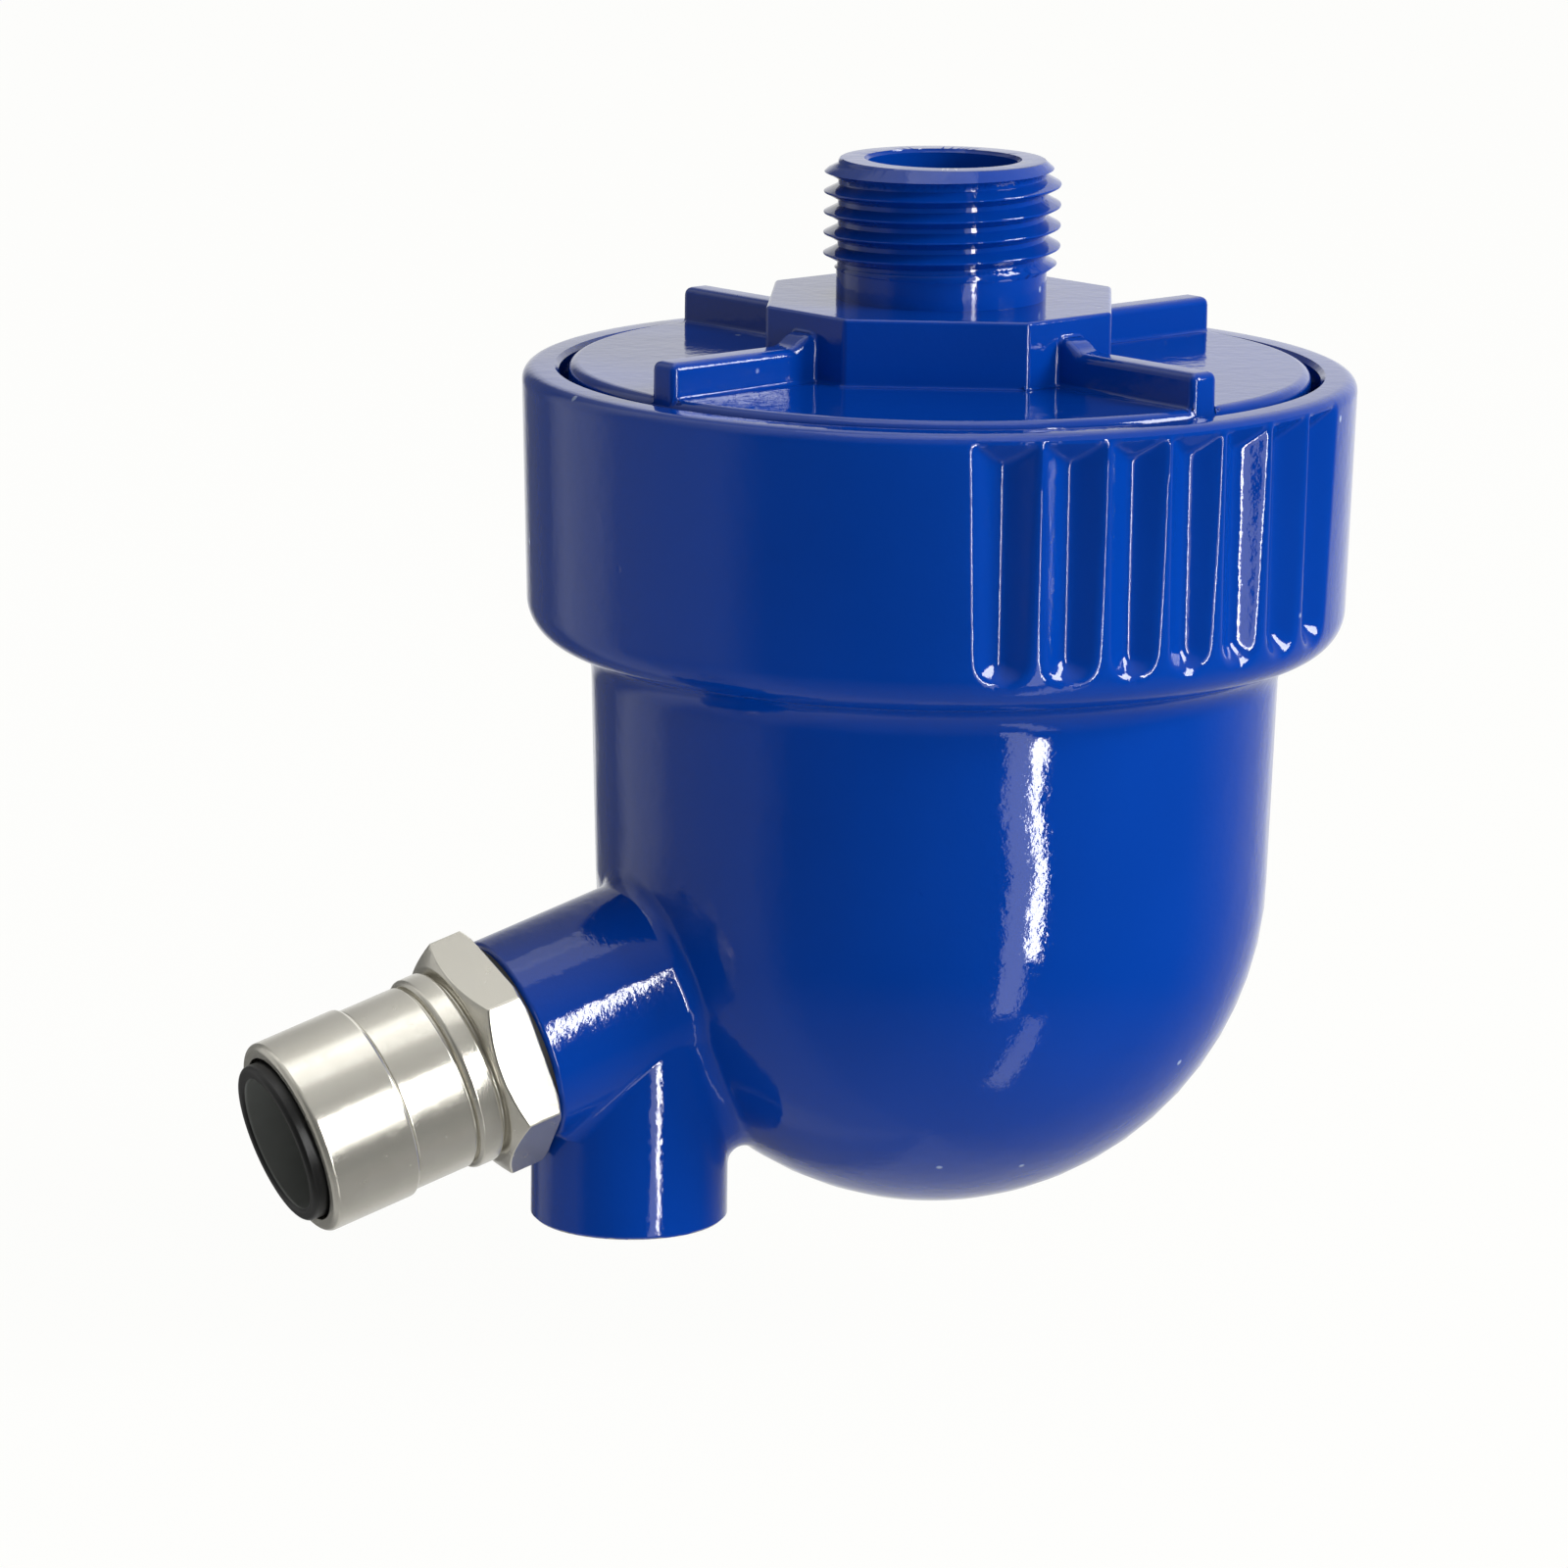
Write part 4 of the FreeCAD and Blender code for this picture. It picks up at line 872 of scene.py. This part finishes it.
class DRAIN_OT_bowl(bpy.types.Operator):
    """Build the fluted bowl with its outlet boss and vertical port"""

    bl_idname = "drain.bowl"
    bl_label = "Fluted bowl"

    def execute(self, context):
        form = context.scene.drain_collar
        bowl = merged_copy("bowl", "fluted_bowl", flat=0)
        seat = 33.3 * MM
        neck_inside = 29.2 * MM
        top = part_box("bowl")[1].z
        self.take_off_collar(bowl)
        smooth(bowl, math.radians(32))
        keep_normals(bowl, "bowl", self.on_round_wall)
        collar = self.collar(form, seat, neck_inside, top)
        self.press_flutes(collar, form, top)
        smooth(collar, math.radians(32))
        select_only(bowl)
        collar.select_set(True)
        bpy.ops.object.join()
        dress(bowl, "blue_enamel", "bowl", "bowl")
        return {"FINISHED"}

    # Heights where the collar's piece meets the bowl and where its inside steps in.
    NECK_END = -37.2 * MM
    UNDER_LEDGE = -30.5 * MM
    # The bowl's outside: a tube that ends in half a ball, with the ball's centre this high.
    WALL_RADIUS = 30.65 * MM
    ROUND_CENTRE = -54.4 * MM

    def take_off_collar(self, bowl):
        """Removes the outer faces of the copied collar, from its mouth to the end of the neck."""
        select_only(bowl)
        bpy.ops.object.mode_set(mode="EDIT")
        bpy.ops.mesh.select_mode(type="FACE")
        bpy.ops.mesh.select_all(action="DESELECT")
        bpy.ops.object.mode_set(mode="OBJECT")
        for polygon in bowl.data.polygons:
            polygon.select = all(
                self.on_collar(bowl.data.vertices[index].co) for index in polygon.vertices
            )
        bpy.ops.object.mode_set(mode="EDIT")
        bpy.ops.mesh.delete(type="FACE")
        bpy.ops.mesh.select_mode(type="VERT")
        bpy.ops.object.mode_set(mode="OBJECT")

    def on_collar(self, point):
        """Whether a point lies on the outside of the collar or of the neck under it."""
        radius = math.hypot(point.x, point.y)
        outside = radius > 33.2 * MM or point.z < -33.9 * MM
        return outside and radius > 30.0 * MM and point.z > self.NECK_END - 0.01 * MM

    def on_round_wall(self, point):
        """Whether a point lies on the outside of the bowl's tube or of its round bottom."""
        below = min(0.0, point.z - self.ROUND_CENTRE)
        return abs(Vector((point.x, point.y, below)).length - self.WALL_RADIUS) < 0.04 * MM

    def collar(self, form, seat, neck_inside, top):
        """The collar turned from its section, with close rows where the flutes end."""
        mouth = 33.7 * MM
        mouth_floor = top - 3.2 * MM
        edge = 0.4 * MM
        top_round = 1.2 * MM
        foot_round = 3.8 * MM
        shoulder = (form.radius - top_round, top - top_round)
        foot = (form.foot_radius - foot_round, top - 24.35 * MM + foot_round)
        neck_turn = 3.5616 * MM
        neck = (self.WALL_RADIUS + neck_turn, self.NECK_END)
        rows = [-11.1, -11.5, -11.9, -12.2, -12.5, -12.8, -13.4, -14.5, -17.0, -20.0, -23.0, -25.5, -27.5]
        rows += [-28.6, -29.0, -29.4, -29.8]
        side = []
        for height in rows:
            share = (shoulder[1] - height * MM) / (shoulder[1] - foot[1])
            side.append((form.radius + (form.foot_radius - form.radius) * share, height * MM))
        section = [(seat, self.UNDER_LEDGE), (seat, mouth_floor), (mouth, mouth_floor)]
        section += [(mouth, top - edge), (mouth + edge, top)]
        section += arc(shoulder, top_round, 90, 0, 6) + side
        section += arc(foot, foot_round, 0, -90, 16)
        section += arc(neck, neck_turn, 116.04, 180, 10)[1:]
        section += [(neck_inside, self.NECK_END), (neck_inside, self.UNDER_LEDGE)]
        return turned("collar", section, 1000)

    def press_flutes(self, collar, form, top):
        """Presses V flutes with a slanted top and a round foot, with soft ridges and roots."""
        slope = form.flute_slope
        mouth = math.hypot(form.flute_half_width, form.flute_round)
        root = form.foot_radius - slope * mouth
        soft = form.edge_round
        high = top - 1.2 * MM
        foot = high - 20.5 * MM + form.flute_half_width
        pitch = form.flute_pitch / form.radius
        first = form.group - pitch * (form.flute_count - 1) / 2
        places = [
            first + group + pitch * index
            for group in (0, math.pi) for index in range(form.flute_count)
        ]
        for vertex in collar.data.vertices:
            x, y, z = vertex.co
            radius = math.hypot(x, y)
            if radius < 33.9 * MM or z > top - 0.3 * MM or z < foot - 4 * MM:
                continue
            angle = math.atan2(y, x)
            reach = radius
            slanted = form.foot_radius + z - high
            for place in places:
                aside = radius * ((angle - place + math.pi) % math.tau - math.pi)
                if abs(aside) > 5 * MM:
                    continue
                below = min(0.0, z - foot)
                wall = root + slope * math.sqrt(aside ** 2 + below ** 2 + form.flute_round ** 2)
                reach = self.softer(reach, self.softer(wall, slanted, -soft), soft)
            if reach < radius:
                vertex.co = (x * reach / radius, y * reach / radius, z)

    def softer(self, first, second, soft):
        """The smaller of two lengths with a rounded change-over, or the larger if soft is negative."""
        near = max(0.0, 1.0 - abs(first - second) / abs(soft))
        if soft > 0:
            return min(first, second) - near * near * soft / 4
        return max(first, second) - near * near * soft / 4


class DRAIN_OT_fitting(bpy.types.Operator):
    """Build the push-in fitting: hexagon body, end sleeve and release collet"""

    bl_idname = "drain.fitting"
    bl_label = "Tube fitting"

    def execute(self, context):
        fitting = context.scene.drain_fitting
        for node, name, slot, body in (
            ("fitting_body", "hexagon_body", "nickel_plate", "bowl"),
            ("fitting_sleeve", "end_sleeve", "nickel_plate", "bowl"),
            ("release_collet", "collet", "black_acetal", "collet"),
        ):
            piece = merged_copy(node, name)
            soften(piece, fitting.edge_round, math.radians(25))
            smooth(piece, math.radians(32))
            dress(piece, slot, body, node)
        return {"FINISHED"}


class DRAIN_OT_inner_parts(bpy.types.Operator):
    """Finish the valve, the float, the strainer, the plug and the seals"""

    bl_idname = "drain.inner_parts"
    bl_label = "Inner parts"

    def execute(self, context):
        replaced = {"cover", "bowl", "fitting_body", "fitting_sleeve", "release_collet"}
        for part in frame["record"]["subparts"]:
            if part["node"] not in replaced:
                dress_node(part["node"], part["material_slot"])
        return {"FINISHED"}


class DRAIN_OT_stage(bpy.types.Operator):
    """Set up the floor, the lamps, the world and the camera"""

    bl_idname = "drain.stage"
    bl_label = "Studio"

    def execute(self, context):
        studio = context.scene.drain_studio
        self.camera(context, studio)
        self.floor(studio)
        self.world(context, studio)
        self.lamps(studio)
        context.scene.view_settings.view_transform = "Standard"
        return {"FINISHED"}

    def camera(self, context, studio):
        """Places the camera by its target, distance and angles."""
        away = Vector((
            math.sin(studio.azimuth) * math.cos(studio.elevation),
            -math.cos(studio.azimuth) * math.cos(studio.elevation),
            math.sin(studio.elevation),
        ))
        level = Vector((0, 0, 1)).cross(away).normalized()
        upright = away.cross(level)
        right = math.cos(studio.roll) * level + math.sin(studio.roll) * upright
        up = away.cross(right)
        data = bpy.data.cameras.new("Camera")
        data.lens = studio.lens
        data.sensor_width = 36.0
        data.clip_start = 10 * MM
        camera = bpy.data.objects.new("Camera", data)
        context.scene.collection.objects.link(camera)
        turn = Matrix((right, up, away)).transposed().to_4x4()
        camera.matrix_world = Matrix.Translation(Vector(studio.target) + studio.distance * away) @ turn
        context.scene.camera = camera

    def floor(self, studio):
        """A plain floor under the hanging valve, near white and left out of reflections."""
        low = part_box("bowl")[0].z
        bpy.ops.object.select_all(action="DESELECT")
        bpy.ops.mesh.primitive_circle_add(
            vertices=96, radius=6.0, fill_type="NGON", location=(0, 0, low - studio.floor_gap)
        )
        floor = bpy.context.object
        floor.name = "floor"
        bpy.ops.object.transform_apply(location=True)
        finish = Finish(bpy.data.materials.new("floor"))
        colour = opaque(studio.floor_colour)
        seen = finish.node("ShaderNodeLightPath", output="Is Camera Ray")
        glossy = finish.node("ShaderNodeLightPath", output="Is Glossy Ray")
        through = finish.node("ShaderNodeLightPath", output="Is Transmission Ray")
        diffuse = finish.node("ShaderNodeBsdfDiffuse", None, {"Color": (0.8, 0.8, 0.79, 1.0)})
        glow = finish.node("ShaderNodeEmission", None, {"Color": colour, "Strength": 1.0})
        share = (seen + through).clamped() * 0.67 + 0.3
        mixed = finish.node("ShaderNodeMixShader", None, (share, diffuse, glow))
        open_floor = finish.node("ShaderNodeBsdfTransparent")
        mirrored = finish.node("ShaderNodeMixShader", None, (glossy, mixed, open_floor))
        finish.node("ShaderNodeOutputMaterial", None, {"Surface": mirrored})
        floor.data.materials.append(finish.owner)

    # Brightness of the room's walls round the object, by the angle from the camera, clockwise seen
    # from below: a soft box on the left, bright walls behind, dim ones by the camera.
    WALLS = (
        (-180, 0.72), (-170, 0.64), (-160, 0.12), (-138, 0.12), (-127, 0.45), (-110, 0.45),
        (-100, 0.26), (-64, 0.24), (-50, 0.04), (-20, 0.015), (60, 0.02), (96, 0.03),
        (112, 0.12), (122, 0.20), (138, 0.34), (160, 0.70), (180, 0.72),
    )

    def world(self, context, studio):
        """The room: its walls as reflections show them, and an even light for the rest."""
        world = bpy.data.worlds.new("Studio")
        context.scene.world = world
        finish = Finish(world)
        direction = finish.node("ShaderNodeTexCoord", output="Generated")
        x, y, z = finish.parts_of(direction)
        side = math.cos(studio.azimuth) * x + math.sin(studio.azimuth) * y
        near = math.sin(studio.azimuth) * x - math.cos(studio.azimuth) * y
        round_share = finish.maths_of("ARCTAN2", side, near) / math.tau + 0.5
        walls = finish.ramp(
            round_share, *[((angle + 180) / 360, level) for angle, level in self.WALLS]
        )
        under = (z * -1.0 - 0.45).clamped() * 0.5
        over = (z - 0.35).clamped() * 0.8
        fade = (z + 1.2).clamped()
        glossy_level = walls * fade * 1.3 + under + over
        seen = finish.node("ShaderNodeLightPath", output="Is Camera Ray")
        diffuse = finish.node("ShaderNodeLightPath", output="Is Diffuse Ray")
        strength = finish.node(
            "ShaderNodeMix", {"data_type": "FLOAT"}, {"Factor": diffuse, 2: glossy_level, 3: 0.28}
        )
        strength = finish.node("ShaderNodeMix", {"data_type": "FLOAT"}, {"Factor": seen, 2: strength, 3: 1.0})
        glow = finish.node(
            "ShaderNodeBackground", None, {"Color": opaque(studio.floor_colour), "Strength": strength}
        )
        finish.node("ShaderNodeOutputWorld", None, {"Surface": glow})

    def lamps(self, studio):
        """Soft areas: a tall narrow strip with two paler ones to the right, a broad key further right and a
        wide one overhead.
        """
        centre = Vector((0.0, 0.0, -45 * MM))
        for name, angle, height, distance, width, length, radiance in (
            ("strip", 34.5, 0.05, 1.1, 0.07, 0.98, 30.0),
            ("pale_strip", 28.0, -0.16, 1.1, 0.16, 1.30, 2.2),
            ("pale_foot", 41.0, -0.95, 0.75, 0.14, 0.55, 1.3),
            ("key", 76.0, 0.60, 1.2, 0.50, 0.60, 16.0),
            ("top", 0.0, 1.30, 0.05, 0.80, 0.80, 0.9),
        ):
            turn = studio.azimuth + math.radians(angle)
            place = centre + Vector((
                math.sin(turn) * distance, -math.cos(turn) * distance, height
            ))
            data = bpy.data.lights.new(name, "AREA")
            data.shape = "RECTANGLE"
            data.size = width
            data.size_y = length
            data.energy = radiance * math.pi * width * length
            lamp = bpy.data.objects.new(name, data)
            bpy.context.scene.collection.objects.link(lamp)
            lamp.location = place
            lamp.rotation_euler = (centre - place).to_track_quat("-Z", "Y").to_euler()


class DRAIN_PT_panel(bpy.types.Panel):
    """Builds the drain valve piece by piece"""

    bl_idname = "DRAIN_PT_panel"
    bl_label = "Drain Valve"
    bl_space_type = "VIEW_3D"
    bl_region_type = "UI"
    bl_category = "Drain Valve"

    def draw(self, context):
        for operator in OPERATORS:
            self.layout.operator(operator.bl_idname)
        for group in SETTINGS:
            box = self.layout.box()
            for name in SETTINGS[group].__annotations__:
                box.prop(getattr(context.scene, group), name)


SETTINGS = {
    "drain_casting": DrainCastingSettings,
    "drain_cover": DrainCoverSettings,
    "drain_collar": DrainCollarSettings,
    "drain_thread": DrainThreadSettings,
    "drain_fitting": DrainFittingSettings,
    "drain_studio": DrainStudioSettings,
}
OPERATORS = (
    DRAIN_OT_stage, DRAIN_OT_cover, DRAIN_OT_bowl, DRAIN_OT_fitting, DRAIN_OT_inner_parts,
)


def register():
    for group, settings in SETTINGS.items():
        bpy.utils.register_class(settings)
        setattr(bpy.types.Scene, group, bpy.props.PointerProperty(type=settings))
    for operator in OPERATORS:
        bpy.utils.register_class(operator)
    bpy.utils.register_class(DRAIN_PT_panel)


def unregister():
    bpy.utils.unregister_class(DRAIN_PT_panel)
    for operator in reversed(OPERATORS):
        bpy.utils.unregister_class(operator)
    for group, settings in SETTINGS.items():
        delattr(bpy.types.Scene, group)
        bpy.utils.unregister_class(settings)


def main():
    register()
    bpy.ops.drain.stage()
    bpy.ops.drain.cover()
    bpy.ops.drain.bowl()
    bpy.ops.drain.fitting()
    bpy.ops.drain.inner_parts()


if __name__ == "__main__":
    main()
